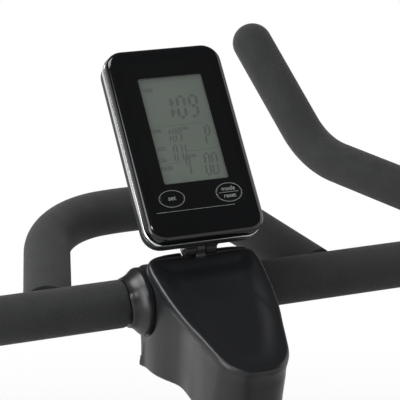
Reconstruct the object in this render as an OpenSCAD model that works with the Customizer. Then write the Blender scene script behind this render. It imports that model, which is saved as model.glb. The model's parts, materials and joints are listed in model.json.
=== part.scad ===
// Indoor exercise bike with a belt drive, a friction brake and a tilting console.
// Millimetres. +X is forward, +Y is the rider's left, +Z is up.
// The origin is on the floor, in the middle of the footprint.

/* [Overall] */
// Length over the flywheel and the rear foot
overall_length = 1200; // [1140:10:1440]
// Height of the handlebar crossbar above the floor
bar_height = 1060; // [885:5:1272]
// Lean of the handlebar post from vertical
post_lean = 14.5; // [10:0.5:20]
// Width of the front and rear feet
foot_width = 500; // [420:10:600]

/* [Flywheel and drive] */
// Radius of the flywheel
flywheel_r = 215; // [180:1:258]
// Width of the flywheel rim
rim_width = 36; // [24:1:44]
// Height of the crank axis above the floor
crank_height = 300; // [270:5:340]
// Distance of the crank axis behind the middle of the bike
crank_back = 45; // [0:5:80]
// Length of a crank arm
crank_length = 170; // [140:2:204]
// Radius of the drive pulley
drive_pulley_r = 95; // [80:1:114]
// Radius of the pulley on the flywheel
flywheel_pulley_r = 30; // [25:1:36]

/* [Handlebar] */
// Outside diameter of the foam on the bars
foam_d = 35; // [30:0.5:42]
// Outside diameter of the steel bar
bar_d = 26; // [22:0.5:28]
// Half of the straight crossbar
bar_half = 183; // [155:1:220]
// Radius of the bend at each end of the crossbar
bar_bend_r = 83; // [70:1:100]
// Rise of the bar plane towards the front
bar_rise = 6.5; // [0:0.5:12]
// How far the horns point inwards
horn_in = 20; // [12:1:24]
// Upward bend of the horn ends
horn_up = 43; // [34:1:52]
// Length of the horn ends, up to the middle of the round tip
horn_tip = 88; // [74:1:106]
// Distance of each leg of the middle loop from the centre
loop_half = 109; // [92:1:130]

/* [Console] */
// Width of the console
console_w = 90; // [80:1:108]
// Height of the console face
console_h = 150; // [140:1:180]
// Lean of the console face from vertical
console_lean = 38; // [30:1:46]
// Width of the display window
window_w = 49.4; // [42:0.2:56]
// Height of the display window
window_h = 82.9; // [70:0.1:90]

/* [Seat] */
// Lean of the seat tube from vertical
seat_lean = 18; // [15:0.5:21.5]
// Length of the seat tube from the crank axis
seat_tube_length = 358; // [300:1:430]
// Height of the seat post top above the seat tube
seat_post_out = 202; // [170:1:242]
// Length of the saddle
saddle_length = 270; // [240:1:310]
// Width of the saddle
saddle_width = 200; // [170:1:240]

/* [Fits] */
// Gap around pieces fixed to one another
fixed_gap = 0.02; // [0.01:0.01:0.05]
// Radial gap of a turning fit
run_gap = 0.05; // [0.03:0.01:0.1]
// Gap between sliding or neighbouring bodies
slide_gap = 0.3; // [0.3:0.1:0.6]

/* [Hidden] */
$fn = 64;
foam_r = foam_d / 2;
bar_r = bar_d / 2;
bar_wall = 2;

// Floor clearance and feet
foot_d = 50;
foot_h = 45;
foot_z = 28;
foot_top = foot_z + foot_h;
rear_foot_x = foot_d / 2 - overall_length / 2;
wheel_x = overall_length / 2 - flywheel_r;
wheel_z = flywheel_r + 70;
front_foot_x = wheel_x + 95;

// Handlebar and its post. The crossbar stands in front of the post.
bar_x = wheel_x - 160;
post_behind = 88;
post_below = 30;
post_x = bar_x - post_behind;
post_z = bar_height - post_below;
crown_z = flywheel_r + 355;
crown_h = 50;
crown_x = post_x + (post_z - crown_z) * tan(post_lean);
crown_s = -(post_z - crown_z) / cos(post_lean);
bar_lower_travel = 60;
bar_raise_travel = 100;
neck_length = 135;
head_tube_top = -(neck_length + bar_lower_travel + 10);
post_bottom = crown_s + crown_h / 2 + bar_lower_travel + 20;

// Rectangular posts, their bushings and the tubes that hold them
post_d = 50;
post_w = 34;
post_corner = 9;
post_wall = 2.5;
bushing_wall = 2.8;
tube_wall = 3;
bushing_length = 80;
socket_d = post_d + 2 * (slide_gap + bushing_wall);
socket_w = post_w + 2 * (slide_gap + bushing_wall);
socket_corner = post_corner + slide_gap + bushing_wall;
tube_d = socket_d + 2 * tube_wall;
tube_w = socket_w + 2 * tube_wall;
tube_corner = socket_corner + tube_wall;
flange_h = 8;

// Crank axis and the stations of the drive across the bike
crank_at = [-crank_back, crank_height];
wheel_at = [wheel_x, wheel_z];
crown_at = [crown_x, crown_z];
bearing_r = 20;
bearing_w = 12;
spindle_r = 8.5;
bb_half = 34;
bb_r = bearing_r + 4;
belt_y0 = 40;
belt_y1 = 54;
guard_y0 = 34.5;
guard_y1 = 60;
guard_wall = 2.2;
drive_hub_r = 18;
belt_thickness = 3;
crank_y0 = 64;
crank_y1 = 80;
crank_end_r = 16;
crank_boss_r = 20;
pedal_y0 = 86;
pedal_width = 100;
pedal_length = 92;
pedal_h = 24;
pedal_axle_r = 6;
pedal_thread_r = 7;

// Fork
fork_leg_y0 = 62.5;
fork_leg_w = 25;
fork_leg_h = 27;
fork_out = fork_leg_y0 + fork_leg_w;
axle_r = 8.5;
hub_half = 30;
hub_r = 36;

// Brake, on the line from the flywheel centre square to the down tube
down_tube_d = 56;
down_tube_w = 40;
down_tube_from = [crown_x - 8, crown_z + 45];
down_dx = crank_at[0] - down_tube_from[0];
down_dz = crank_at[1] - down_tube_from[1];
down_len = norm([down_dx, down_dz]);
brake_angle = atan2(-down_dx, down_dz);
brake_to_tube = abs((wheel_x - down_tube_from[0]) * down_dz - (wheel_z - down_tube_from[1]) * down_dx)
    / down_len;
brake_rod_r = 7;
brake_gap = 4;
brake_pad_h = 9;
brake_shoe_h = 12;
brake_sleeve_r = 12;
brake_knob_out = 76;
brake_travel = 3.6;
brake_sleeve_above = 18;

// Seat
seat_low_travel = 110;
seat_high_travel = 100;
seat_post_bottom = 150;
seat_top_s = seat_tube_length + seat_post_out;
seat_top_x = crank_at[0] - seat_top_s * sin(seat_lean);
seat_top_z = crank_at[1] + seat_top_s * cos(seat_lean);
seat_rail_l = 240;
seat_rail_w = 56;
seat_rail_h = 26;
carriage_l = 80;
carriage_w = 72;
carriage_wall = 8;
seat_travel = 60;
saddle_z = seat_top_z + seat_rail_h + 44;

// Horn geometry
horn_bend_r = 70;
horn_low = 101;
loop_rise = 13.6;
loop_in = 18.3;
loop_leg = 84;
loop_bend_r = 69.5;
loop_bow = 5.5;
collar_out = 52;
cover_half = 36;
collar_r = 24.5;

// Console
console_x = bar_x + 11.6;
console_z = bar_height + 122.1;
console_corner = 14;
face_mid = -9;
bezel_t = 8;
trim_t = 5;
back_t = 7;
film_t = 1;
hinge_v = -81;
hinge_n = -27;
hinge_r = 6;
hinge_pin_r = 2.5;
button_y = -52.6;
button_x = 22;

// ---------------------------------------------------------------- outlines and frames

// Points of a rectangle with rounded corners, centred on the origin
function rounded_points(w, h, r, n = 6) = [
    for (c = [[1, 1, 0], [-1, 1, 90], [-1, -1, 180], [1, -1, 270]], i = [0:n])
        [c[0] * (w / 2 - r) + r * cos(c[2] + 90 * i / n), c[1] * (h / 2 - r) + r * sin(c[2] + 90 * i / n)]
];

// Points of an ellipse
function ellipse_points(a, b, n = 36) = [for (i = [0:n - 1]) [a * cos(360 * i / n), b * sin(360 * i / n)]];

// A rounded bar along +Z
module bar(w, h, r, length) linear_extrude(length) polygon(rounded_points(w, h, r));

// A rounded tube along +Z
module tube(w, h, r, wall, length) linear_extrude(length) difference() {
    polygon(rounded_points(w, h, r));
    polygon(rounded_points(w - 2 * wall, h - 2 * wall, r - wall));
}

// A cylinder along Y from y0 to y1
module y_rod(r, y0, y1) translate([0, y0, 0]) rotate([-90, 0, 0]) cylinder(r = r, h = y1 - y0);

// A box given by its near and far corners
module span(a, b) translate(a) cube(b - a);

// Places children at point p of the XZ plane
module at(p) translate([p[0], 0, p[1]]) children();

// Places children at point a with their +Z along the line from a to b
module along(a, b) at(a) rotate([0, atan2(b[0] - a[0], b[1] - a[1]), 0]) children();

// Frame of the handlebar post: +Z up the post
module post_frame() translate([post_x, 0, post_z]) rotate([0, -post_lean, 0]) children();

// Frame of the seat tube: +Z up the tube from the crank axis
module seat_frame() at(crank_at) rotate([0, -seat_lean, 0]) children();

// Frame of the brake: +Z outwards along the brake rod from the flywheel centre
module brake_frame() at(wheel_at) rotate([0, 90 - brake_angle, 0]) children();

// Frame of the crossbar
module bar_frame() translate([bar_x, 0, bar_height]) children();

// Frame of the console: X to the rider's right, Y up the face, +Z out of the face
module console_frame() translate([console_x, 0, console_z])
    rotate([0, console_lean - 90, 0]) rotate([0, 0, -90]) children();

// Knob with finger grooves along +Z and a screw along -Z
module star_knob(r, h, stud_r, stud_l) {
    difference() {
        union() {
            cylinder(r = r, h = h);
            translate([0, 0, -8]) cylinder(r = r * 0.55, h = 8);
        }
        for (i = [0:6]) rotate(i * 360 / 7) translate([r * 1.18, 0, -1])
            cylinder(r = r * 0.32, h = h + 2, $fn = 24);
    }
    translate([0, 0, -8 - stud_l]) cylinder(r = stud_r, h = stud_l + 0.01);
}

// ---------------------------------------------------------------- frame

// Solid envelope of the head tube
module head_tube_envelope() post_frame()
    translate([0, 0, crown_s]) bar(tube_d, tube_w, tube_corner, head_tube_top - crown_s);

// Solid envelope of the crown
module crown_envelope() at(crown_at)
    translate([0, 0, -crown_h / 2]) bar(66, 2 * fork_out, 12, crown_h);

// Solid envelope of the bottom bracket
module bb_envelope() at(crank_at) y_rod(bb_r, -bb_half, bb_half);

module seat_tube_envelope() seat_frame() bar(tube_d, tube_w, tube_corner, seat_tube_length);

module foot_envelope(x) translate([x, foot_width / 2, foot_z + foot_h / 2]) rotate([90, 0, 0])
    bar(foot_d, foot_h, 8, foot_width);

knob_boss_l = 14;
knob_stud_r = 5;
knob_below_top = 30;

// Boss on a tube wall for a locking knob, pointing to -X of the tube
module knob_boss(s) translate([-tube_d / 2 + 2, 0, s]) rotate([0, -90, 0])
    cylinder(r = 11, h = knob_boss_l);

// Bore for a locking knob
module knob_bore(s, r) translate([0, 0, s]) rotate([0, -90, 0]) cylinder(r = r, h = tube_d);

// Locking knob, its tip just clear of the post
module locking_knob(s) translate([-(tube_d / 2 - 2 + knob_boss_l + 1), 0, s]) rotate([0, -90, 0])
    translate([0, 0, 8])
        star_knob(24, 20, knob_stud_r, tube_d / 2 - 2 + knob_boss_l + 1 - post_d / 2 - slide_gap);

module head_tube() color("dimgray") difference() {
    union() {
        difference() {
            crown_envelope();
            post_frame() translate([0, 0, crown_s - 60]) bar(socket_d, socket_w, socket_corner, 200);
        }
        post_frame() translate([0, 0, crown_s])
            tube(tube_d, tube_w, tube_corner, tube_wall, head_tube_top - crown_s);
        post_frame() difference() {
            knob_boss(head_tube_top - knob_below_top);
            translate([0, 0, crown_s]) bar(tube_d, tube_w, tube_corner, head_tube_top - crown_s);
        }
    }
    post_frame() knob_bore(head_tube_top - knob_below_top, knob_stud_r + run_gap);
}

// Plastic sleeve with a flange, seen along +Z, its flange above s
module post_bushing(s) difference() {
    union() {
        translate([0, 0, s - bushing_length])
            bar(socket_d - 2 * fixed_gap, socket_w - 2 * fixed_gap, socket_corner, bushing_length);
        translate([0, 0, s]) bar(tube_d + 2, tube_w + 2, tube_corner, flange_h);
    }
    translate([0, 0, s - bushing_length - 1])
        bar(post_d + 2 * slide_gap, post_w + 2 * slide_gap, post_corner + slide_gap, bushing_length + 20);
    knob_bore(s - knob_below_top, knob_stud_r + 1);
}

module post_bushings() color("black") {
    post_frame() post_bushing(head_tube_top);
    seat_frame() post_bushing(seat_tube_length);
}

module down_tube() color("dimgray") difference() {
    union() {
        difference() {
            along(down_tube_from, crank_at)
                tube(down_tube_d, down_tube_w, 10, tube_wall, down_len);
            head_tube_envelope();
            crown_envelope();
            bb_envelope();
            seat_tube_envelope();
        }
        brake_frame() translate([0, 0, brake_to_tube - down_tube_d / 2 - 8])
            cylinder(r = brake_sleeve_r, h = down_tube_d + 8 + brake_sleeve_above);
    }
    brake_frame() translate([0, 0, brake_to_tube - 100]) cylinder(r = brake_rod_r + run_gap, h = 200);
}

module seat_tube() color("dimgray") difference() {
    union() {
        bb_envelope();
        seat_frame() tube(tube_d, tube_w, tube_corner, tube_wall, seat_tube_length);
        seat_frame() difference() {
            knob_boss(seat_tube_length - knob_below_top);
            bar(tube_d, tube_w, tube_corner, seat_tube_length);
        }
    }
    at(crank_at) y_rod(bearing_r + fixed_gap, -bb_half - 1, bb_half + 1);
    seat_frame() knob_bore(seat_tube_length - knob_below_top, knob_stud_r + run_gap);
}

module rear_beam() color("dimgray") difference() {
    along(crank_at, [rear_foot_x, foot_z + foot_h / 2 + 12])
        tube(64, 44, 12, tube_wall, norm([crank_at[0] - rear_foot_x, crank_at[1] - foot_z - foot_h / 2 - 12]));
    bb_envelope();
    seat_tube_envelope();
    foot_envelope(rear_foot_x);
}

// Fork leg from the crown past the wheel to the front foot
module fork_leg() difference() {
    side_slab(fork_leg_y0, fork_out) polygon([
        crown_at + [20, 0], wheel_at + [fork_leg_h, 0], [front_foot_x + 20, foot_top - 12],
        [front_foot_x - 20, foot_top - 12], wheel_at - [fork_leg_h, 0], crown_at - [20, 0]
    ]);
    crown_envelope();
    foot_envelope(front_foot_x);
    at(wheel_at) y_rod(axle_r + fixed_gap, 0, 200);
}

module fork_left() color("dimgray") fork_leg();
module fork_right() mirror([0, 1, 0]) fork_left();

transport_wheel_y = 195;
transport_wheel_r = 30;
transport_wheel_w = 26;
transport_wheel_x = front_foot_x + foot_d / 2 + transport_wheel_r + 5;
transport_wheel_z = transport_wheel_r + 14;
transport_axle_r = 5;

module front_stabilizer() color("dimgray") {
    difference() {
        foot_envelope(front_foot_x);
        translate([front_foot_x, foot_width / 2 + 1, foot_z + foot_h / 2]) rotate([90, 0, 0])
            bar(foot_d - 6, foot_h - 6, 5, foot_width + 2);
    }
    for (side = [-1, 1], lug = [-1, 1]) difference() {
        translate([0, side * transport_wheel_y + lug * (transport_wheel_w / 2 + 4) - 2, 0]) union() {
            span([front_foot_x + foot_d / 2, 0, foot_z + 2],
                [transport_wheel_x, 4, transport_wheel_z + 14]);
            translate([transport_wheel_x, 0, transport_wheel_z]) y_rod(14, 0, 4);
        }
        translate([transport_wheel_x, 0, transport_wheel_z]) y_rod(transport_axle_r + fixed_gap, -300, 300);
    }
}

levelling_y = 215;
levelling_stud_r = 5;

module rear_stabilizer() color("dimgray") difference() {
    foot_envelope(rear_foot_x);
    translate([rear_foot_x, foot_width / 2 + 1, foot_z + foot_h / 2]) rotate([90, 0, 0])
        bar(foot_d - 6, foot_h - 6, 5, foot_width + 2);
    for (side = [-1, 1]) translate([rear_foot_x, side * levelling_y, 0])
        cylinder(r = levelling_stud_r + run_gap, h = foot_z + 6);
}

// Rubber cap on the end of a foot; the front ones stand on the floor
module end_cap(x, side, low) translate([x, side * foot_width / 2, 0]) mirror([0, side < 0 ? 1 : 0, 0]) {
    translate([0, 5, (low + foot_top + 2) / 2]) rotate([90, 0, 0])
        bar(foot_d, foot_top + 2 - low, 8, 5 - 0.01);
    translate([0, 0, foot_z + foot_h / 2]) rotate([90, 0, 0])
        bar(foot_d - 6.2, foot_h - 6.2, 4.9, 20);
}

// Floor pad under the front foot
module front_pad(side) difference() {
    translate([front_foot_x, side * (foot_width / 2 - 20), 0]) rotate([0, 0, 0])
        bar(foot_d, 40, 8, foot_z - 0.01);
    foot_envelope(front_foot_x);
}

module stabilizer_end_caps() color("black") for (side = [-1, 1]) {
    end_cap(front_foot_x, side, 0);
    front_pad(side);
    end_cap(rear_foot_x, side, foot_z - 2);
}

module levelling_foot(side) color("black") translate([rear_foot_x, side * levelling_y, 0]) {
    cylinder(r = 22, h = 10);
    translate([0, 0, 10]) cylinder(r1 = 22, r2 = 12, h = 6);
    translate([0, 0, 15]) cylinder(r = levelling_stud_r, h = foot_z + 22 - 15);
}
module levelling_foot_left() levelling_foot(1);
module levelling_foot_right() levelling_foot(-1);

module transport_wheel(side) color("black")
    translate([transport_wheel_x, side * transport_wheel_y - transport_wheel_w / 2, transport_wheel_z])
    rotate([-90, 0, 0]) difference() {
        union() {
            cylinder(r = transport_wheel_r, h = transport_wheel_w);
            translate([0, 0, -1]) cylinder(r = 12, h = transport_wheel_w + 2);
        }
        translate([0, 0, -2]) cylinder(r = transport_axle_r + run_gap, h = transport_wheel_w + 4);
        for (z = [-2, transport_wheel_w - 6]) translate([0, 0, z]) difference() {
            cylinder(r = transport_wheel_r - 6, h = 8);
            translate([0, 0, -1]) cylinder(r = 12, h = 10);
        }
    }
module transport_wheel_left() transport_wheel(1);
module transport_wheel_right() transport_wheel(-1);

// ---------------------------------------------------------------- drive

// A ball bearing as two rings and a row of balls between them
module ball_bearing(y0) translate([0, y0, 0]) rotate([-90, 0, 0]) {
    difference() {
        cylinder(r = bearing_r, h = bearing_w);
        translate([0, 0, -1]) cylinder(r = bearing_r - 4, h = bearing_w + 2);
    }
    difference() {
        cylinder(r = spindle_r + 4, h = bearing_w);
        translate([0, 0, -1]) cylinder(r = spindle_r + run_gap, h = bearing_w + 2);
    }
    for (i = [0:8]) rotate(i * 40) translate([(bearing_r + spindle_r) / 2, 0, bearing_w / 2])
        sphere(r = 1.7, $fn = 16);
}

module ball_bearings() color("silver") {
    at(crank_at) for (y = [bb_half - bearing_w, -bb_half]) ball_bearing(y);
    at(wheel_at) for (y = [hub_half - bearing_w, -hub_half]) ball_bearing(y);
}

module flywheel_axle() color("silver") at(wheel_at) {
    y_rod(axle_r, -fork_out - 14, fork_out + 14);
    difference() {
        union() {
            y_rod(12, hub_half + 0.5, fork_leg_y0 - 0.05);
            y_rod(12, -fork_leg_y0 + 0.05, -belt_y1 - 3.5);
        }
        y_rod(axle_r - 0.01, -100, 100);
    }
}

// Hexagon nut round a shaft along Y
module hex_nut(r, bore, y0, y1) difference() {
    translate([0, y0, 0]) rotate([-90, 0, 0]) cylinder(r = r, h = y1 - y0, $fn = 6);
    y_rod(bore, y0 - 1, y1 + 1);
}

guard_screw_at = [for (a = [100, 180, 260]) crank_at + (drive_pulley_r + 9) * [cos(a), sin(a)]];

module frame_fasteners() color("silver") {
    at(wheel_at) for (side = [-1, 1]) {
        y = side * (fork_out + 5.5);
        hex_nut(15, axle_r + fixed_gap, y - 5.4, y + 5.4);
    }
    for (side = [-1, 1]) translate([transport_wheel_x, side * transport_wheel_y, transport_wheel_z]) {
        half = transport_wheel_w / 2 + 6;
        y_rod(transport_axle_r, -half, half);
        y_rod(9, half + 0.05, half + 4);
        y_rod(9, -half - 4, -half - 0.05);
    }
    for (p = guard_screw_at) at(p) y_rod(4, -guard_y1 - 2, -guard_y1 - 0.05);
}

guard_r = drive_pulley_r + 15;
guard_nose_r = flywheel_pulley_r + 20;

// Side outline of the belt guard, grown by a margin
module guard_outline(grow) hull() {
    translate(crank_at) circle(r = guard_r + grow);
    translate(wheel_at) circle(r = guard_nose_r + grow);
}

// Turns a side outline drawn in X and Z into a slab from y0 to y1
module side_slab(y0, y1) translate([0, y1, 0]) rotate([90, 0, 0]) linear_extrude(y1 - y0) children();

module belt_guard_inner() color("black") difference() {
    union() {
        side_slab(-guard_y0 - guard_wall, -guard_y0) guard_outline(0);
        side_slab(-guard_y0 - 8, -guard_y0) difference() {
            guard_outline(-guard_wall - 0.4);
            guard_outline(-2 * guard_wall - 0.4);
        }
    }
    at(crank_at) y_rod(drive_hub_r + 2, -70, 0);
    at(wheel_at) y_rod(flywheel_pulley_r + 8, -70, 0);
}

module belt_guard_outer() color("black") difference() {
    union() {
        side_slab(-guard_y1, -guard_y1 + guard_wall) guard_outline(0);
        side_slab(-guard_y1, -guard_y0 - guard_wall - 0.05) difference() {
            guard_outline(0);
            guard_outline(-guard_wall);
        }
    }
    at(crank_at) y_rod(spindle_r + 6, -70, 0);
    at(wheel_at) y_rod(12.5, -70, 0);
}

module drive_belt() color("black") side_slab(-belt_y1 + 1.5, -belt_y0 - 1.5) difference() {
    hull() {
        translate(crank_at) circle(r = drive_pulley_r + slide_gap + belt_thickness);
        translate(wheel_at) circle(r = flywheel_pulley_r + slide_gap + belt_thickness, $fn = 48);
    }
    hull() {
        translate(crank_at) circle(r = drive_pulley_r + slide_gap);
        translate(wheel_at) circle(r = flywheel_pulley_r + slide_gap, $fn = 48);
    }
}

module crank_spindle() color("silver") at(crank_at) y_rod(spindle_r, -crank_y1 - 2, crank_y1 + 2);

module drive_pulley() color("gray") at(crank_at) difference() {
    union() {
        y_rod(drive_pulley_r, -belt_y1, -belt_y0);
        y_rod(drive_hub_r, -belt_y1 - 1, -bb_half - 0.5);
    }
    y_rod(spindle_r + fixed_gap, -70, 0);
    for (a = [0:60:300]) rotate([0, a, 0]) translate([drive_pulley_r * 0.58, 0, 0])
        y_rod(drive_pulley_r * 0.19, -70, 0);
    translate([0, -belt_y1 - 1, 0]) rotate([-90, 0, 0]) difference() {
        cylinder(r = drive_pulley_r - 8, h = 5);
        cylinder(r = drive_hub_r + 2, h = 5);
    }
}

// Crank arm pointing to +X, from y0 to y1
module crank_arm(y0, y1) difference() {
    union() {
        y_rod(crank_boss_r, y0, y1);
        span([0, y0 + 1, -13], [crank_length, y1 - 1, 13]);
        translate([crank_length, 0, 0]) y_rod(crank_end_r, y0, y1);
    }
    y_rod(spindle_r + fixed_gap, y0 - 1, y1 + 1);
    translate([crank_length, 0, 0]) y_rod(pedal_thread_r + fixed_gap, y0 - 1, y1 + 1);
}

module crank_left() color("silver") at(crank_at) rotate([0, 180, 0]) crank_arm(crank_y0, crank_y1);
module crank_right() color("silver") at(crank_at) crank_arm(-crank_y1, -crank_y0);

// Frame of a pedal: +Y outwards, X along the foot towards the toes
module pedal_frame(side) translate([crank_at[0] - side * crank_length, 0, crank_at[1]])
    mirror([0, side < 0 ? 1 : 0, 0]) children();

module pedal_axles() color("silver") for (side = [-1, 1]) pedal_frame(side) {
    y_rod(pedal_thread_r, crank_y0, crank_y1 + 3);
    y_rod(pedal_axle_r, crank_y1 + 3, pedal_y0 + pedal_width - 8);
    y_rod(pedal_thread_r + 3, crank_y1 + 0.05, crank_y1 + 4);
}

cage_h = 62;
strap_w = 26;

// Pedal with a toe cage and a strap over the foot
module pedal() {
    y1 = pedal_y0 + pedal_width;
    l = pedal_length / 2;
    h = pedal_h / 2;
    difference() {
        union() {
            y_rod(h, pedal_y0, y1);
            for (x = [-l, l - 10]) span([x, pedal_y0 + 4, -h], [x + 10, y1, h]);
            for (y = [pedal_y0 + 4, y1 - 8]) span([-l, y, -h], [l, y + 8, h]);
            for (y = [pedal_y0 + 38, pedal_y0 + 60]) span([-l, y, -h + 4], [l, y + 6, h - 2]);
        }
        y_rod(pedal_axle_r + run_gap, pedal_y0 - 1, y1 - 6);
    }
    // Toe cage: a front wall and a hood over the toes
    span([l + 0.05, pedal_y0 + 12, -h + 2], [l + 3, y1 - 8, h + cage_h - 12]);
    span([l - 34, pedal_y0 + 12, h + cage_h - 15], [l + 3, y1 - 8, h + cage_h - 12]);
    // Strap from one side of the pedal to the other
    for (y = [pedal_y0 + 1.9, y1 + 0.05]) span([-strap_w, y, pedal_axle_r + 1], [0, y + 2, h + cage_h]);
    span([-strap_w, pedal_y0 + 1.9, h + cage_h - 2], [0, y1 + 2.05, h + cage_h]);
}
module pedal_left() color("black") pedal_frame(1) pedal();
module pedal_right() color("black") pedal_frame(-1) pedal();

module flywheel() color("gray") at(wheel_at) rotate([-90, 0, 0]) rotate_extrude($fn = 128) polygon([
    [bearing_r + run_gap, -hub_half], [hub_r, -hub_half], [hub_r, -9], [flywheel_r - 42, -6],
    [flywheel_r - 32, -rim_width / 2], [flywheel_r - 2, -rim_width / 2], [flywheel_r, -rim_width / 2 + 2],
    [flywheel_r, rim_width / 2 - 2], [flywheel_r - 2, rim_width / 2], [flywheel_r - 32, rim_width / 2],
    [flywheel_r - 42, 6], [hub_r, 9], [hub_r, hub_half], [bearing_r + run_gap, hub_half]
]);

module flywheel_pulley() color("gray") at(wheel_at) difference() {
    union() {
        y_rod(flywheel_pulley_r - 2, -belt_y1 - 2, -hub_half - 0.05);
        y_rod(flywheel_pulley_r, -belt_y1, -belt_y0);
        y_rod(flywheel_pulley_r + 5, -belt_y0 + 1, -belt_y0 + 3);
        y_rod(flywheel_pulley_r + 5, -belt_y1 - 2, -belt_y1);
    }
    y_rod(12, -70, -hub_half + 1);
}

// ---------------------------------------------------------------- brake

brake_pad_r0 = flywheel_r + brake_gap;
brake_pad_r1 = brake_pad_r0 + brake_pad_h;
brake_shoe_r1 = brake_pad_r1 + brake_shoe_h;
brake_half = 24;

// Block curved round the flywheel between two radii
module brake_block(r0, r1, width, angle) rotate([90, 0, 0]) translate([0, 0, -width / 2])
    rotate([0, 0, 90 - angle]) rotate_extrude(angle = 2 * angle, $fn = 128)
        translate([r0, 0]) square([r1 - r0, width]);

module brake_pad() color("saddlebrown") brake_frame() brake_block(brake_pad_r0, brake_pad_r1 - 0.05, 30, 11);

brake_rod_top = brake_to_tube + down_tube_d / 2 + brake_knob_out;

module brake_rod() color("silver") brake_frame() {
    brake_block(brake_pad_r1, brake_shoe_r1, 38, 12);
    translate([0, 0, brake_shoe_r1 - 2]) cylinder(r = brake_rod_r, h = brake_rod_top - brake_shoe_r1 - 12);
    translate([0, 0, brake_spring_z1 + 0.3]) cylinder(r = 12, h = 3);
}

brake_spring_z0 = brake_to_tube + down_tube_d / 2 + brake_sleeve_above + brake_travel + 0.5;
brake_spring_z1 = brake_spring_z0 + 20;

// Return spring between the sleeve and the collar on the rod
module brake_spring() color("silver") brake_frame() for (i = [0:4])
    translate([0, 0, brake_spring_z0 + 1.6 + i * 4]) rotate_extrude($fn = 48)
        translate([9.4, 0]) circle(r = 1.1, $fn = 16);

module resistance_knob() color("black") brake_frame() translate([0, 0, brake_rod_top - 26]) difference() {
    union() {
        cylinder(r = 15, h = 8);
        translate([0, 0, 8]) cylinder(r1 = 22, r2 = 26, h = 20);
        translate([0, 0, 28]) cylinder(r1 = 26, r2 = 20, h = 6);
    }
    translate([0, 0, -1]) cylinder(r = brake_rod_r + run_gap, h = 14);
    for (i = [0:8]) rotate(i * 40) translate([30, 0, 6]) cylinder(r = 6, h = 40, $fn = 24);
}

// ---------------------------------------------------------------- seat

module seat_post() color("silver") {
    difference() {
        seat_frame() translate([0, 0, seat_post_bottom])
            tube(post_d, post_w, post_corner, post_wall, seat_top_s - seat_post_bottom + 20);
        span([seat_top_x - 200, -60, seat_top_z], [seat_top_x + 200, 60, seat_top_z + 80]);
    }
    translate([seat_top_x - seat_rail_l / 2, 0, seat_top_z + seat_rail_h / 2]) rotate([0, 90, 0])
        tube(seat_rail_h, seat_rail_w, 4, 3, seat_rail_l);
}

carriage_h = seat_rail_h + 2 * carriage_wall + 2 * slide_gap;
carriage_x = seat_top_x + 5;
slide_knob_r = 5;

module seat_carriage() color("black") difference() {
    union() {
        translate([carriage_x - carriage_l / 2, 0, seat_top_z + seat_rail_h / 2]) rotate([0, 90, 0])
            bar(carriage_h, carriage_w, 5, carriage_l);
        span([carriage_x - 26, -29, seat_top_z + seat_rail_h + 4], [carriage_x + 26, 29, saddle_z - 16]);
    }
    translate([carriage_x - carriage_l, 0, seat_top_z + seat_rail_h / 2]) rotate([0, 90, 0])
        bar(seat_rail_h + 2 * slide_gap, seat_rail_w + 2 * slide_gap, 4.3, 2 * carriage_l);
    span([carriage_x - carriage_l, -post_w / 2 - 3, seat_top_z - 40],
        [carriage_x + carriage_l, post_w / 2 + 3, seat_top_z + 2]);
    translate([carriage_x, 0, seat_top_z + seat_rail_h / 2]) y_rod(slide_knob_r + run_gap, 0, 60);
    for (y = [-22, 22]) translate([carriage_x - 40, y, saddle_z - 24]) rotate([0, 90, 0])
        cylinder(r = 3.5 + fixed_gap, h = 80);
}

module seat_slide_knob() color("black")
    translate([carriage_x, carriage_w / 2 + 1 + 8, seat_top_z + seat_rail_h / 2]) rotate([-90, 0, 0])
    star_knob(20, 18, slide_knob_r, carriage_w / 2 + 1 - seat_rail_w / 2 - slide_gap);

saddle_x = carriage_x - 12;

// A frame at p with heading d, its left side kept near +Y
function facing(p, d) =
    let (h = d / norm(d), c = cross(h, [0, 1, 0]), u = c / norm(c)) [p, h, cross(u, h), u];

module saddle_rails() color("silver") for (side = [-1, 1]) translate([saddle_x, 0, saddle_z]) bent_rod([
    facing([-saddle_length * 0.3, side * 34, -0.05], [0, 0, -1]),
    facing([-saddle_length * 0.2, side * 22, -24], [1, -side * 0.2, -0.4]),
    facing([saddle_length * 0.24, side * 22, -24], [1, -side * 0.15, 0.4]),
    facing([saddle_length * 0.36, side * 12, -0.05], [0, 0, 1])
], 3.5);

saddle_nose_r = 24;
saddle_rear_r = saddle_width * 0.22;

// Plan of the saddle, seen from above
module saddle_plan(grow) {
    hull() {
        translate([saddle_length * 0.56 - saddle_nose_r, 0]) circle(r = saddle_nose_r + grow, $fn = 32);
        translate([-saddle_length * 0.05, 0]) circle(r = saddle_width * 0.21 + grow, $fn = 32);
    }
    hull() {
        translate([-saddle_length * 0.0, 0]) circle(r = saddle_width * 0.2 + grow, $fn = 32);
        for (side = [-1, 1])
            translate([saddle_rear_r - saddle_length * 0.44, side * (saddle_width / 2 - saddle_rear_r)])
            circle(r = saddle_rear_r + grow, $fn = 32);
    }
}

module saddle_shell() color("black") translate([saddle_x, 0, saddle_z]) linear_extrude(10) saddle_plan(-3);

module saddle_cushion() color("dimgray") translate([saddle_x, 0, saddle_z + 10.1]) difference() {
    union() {
        linear_extrude(16) saddle_plan(0);
        translate([0, 0, 16]) linear_extrude(10) saddle_plan(-4);
        translate([0, 0, 26]) linear_extrude(8) saddle_plan(-11);
    }
}

module seat_height_knob() color("black") seat_frame() locking_knob(seat_tube_length - knob_below_top);
module handlebar_knob() color("black") post_frame() locking_knob(head_tube_top - knob_below_top);

// ---------------------------------------------------------------- handlebar

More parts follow.
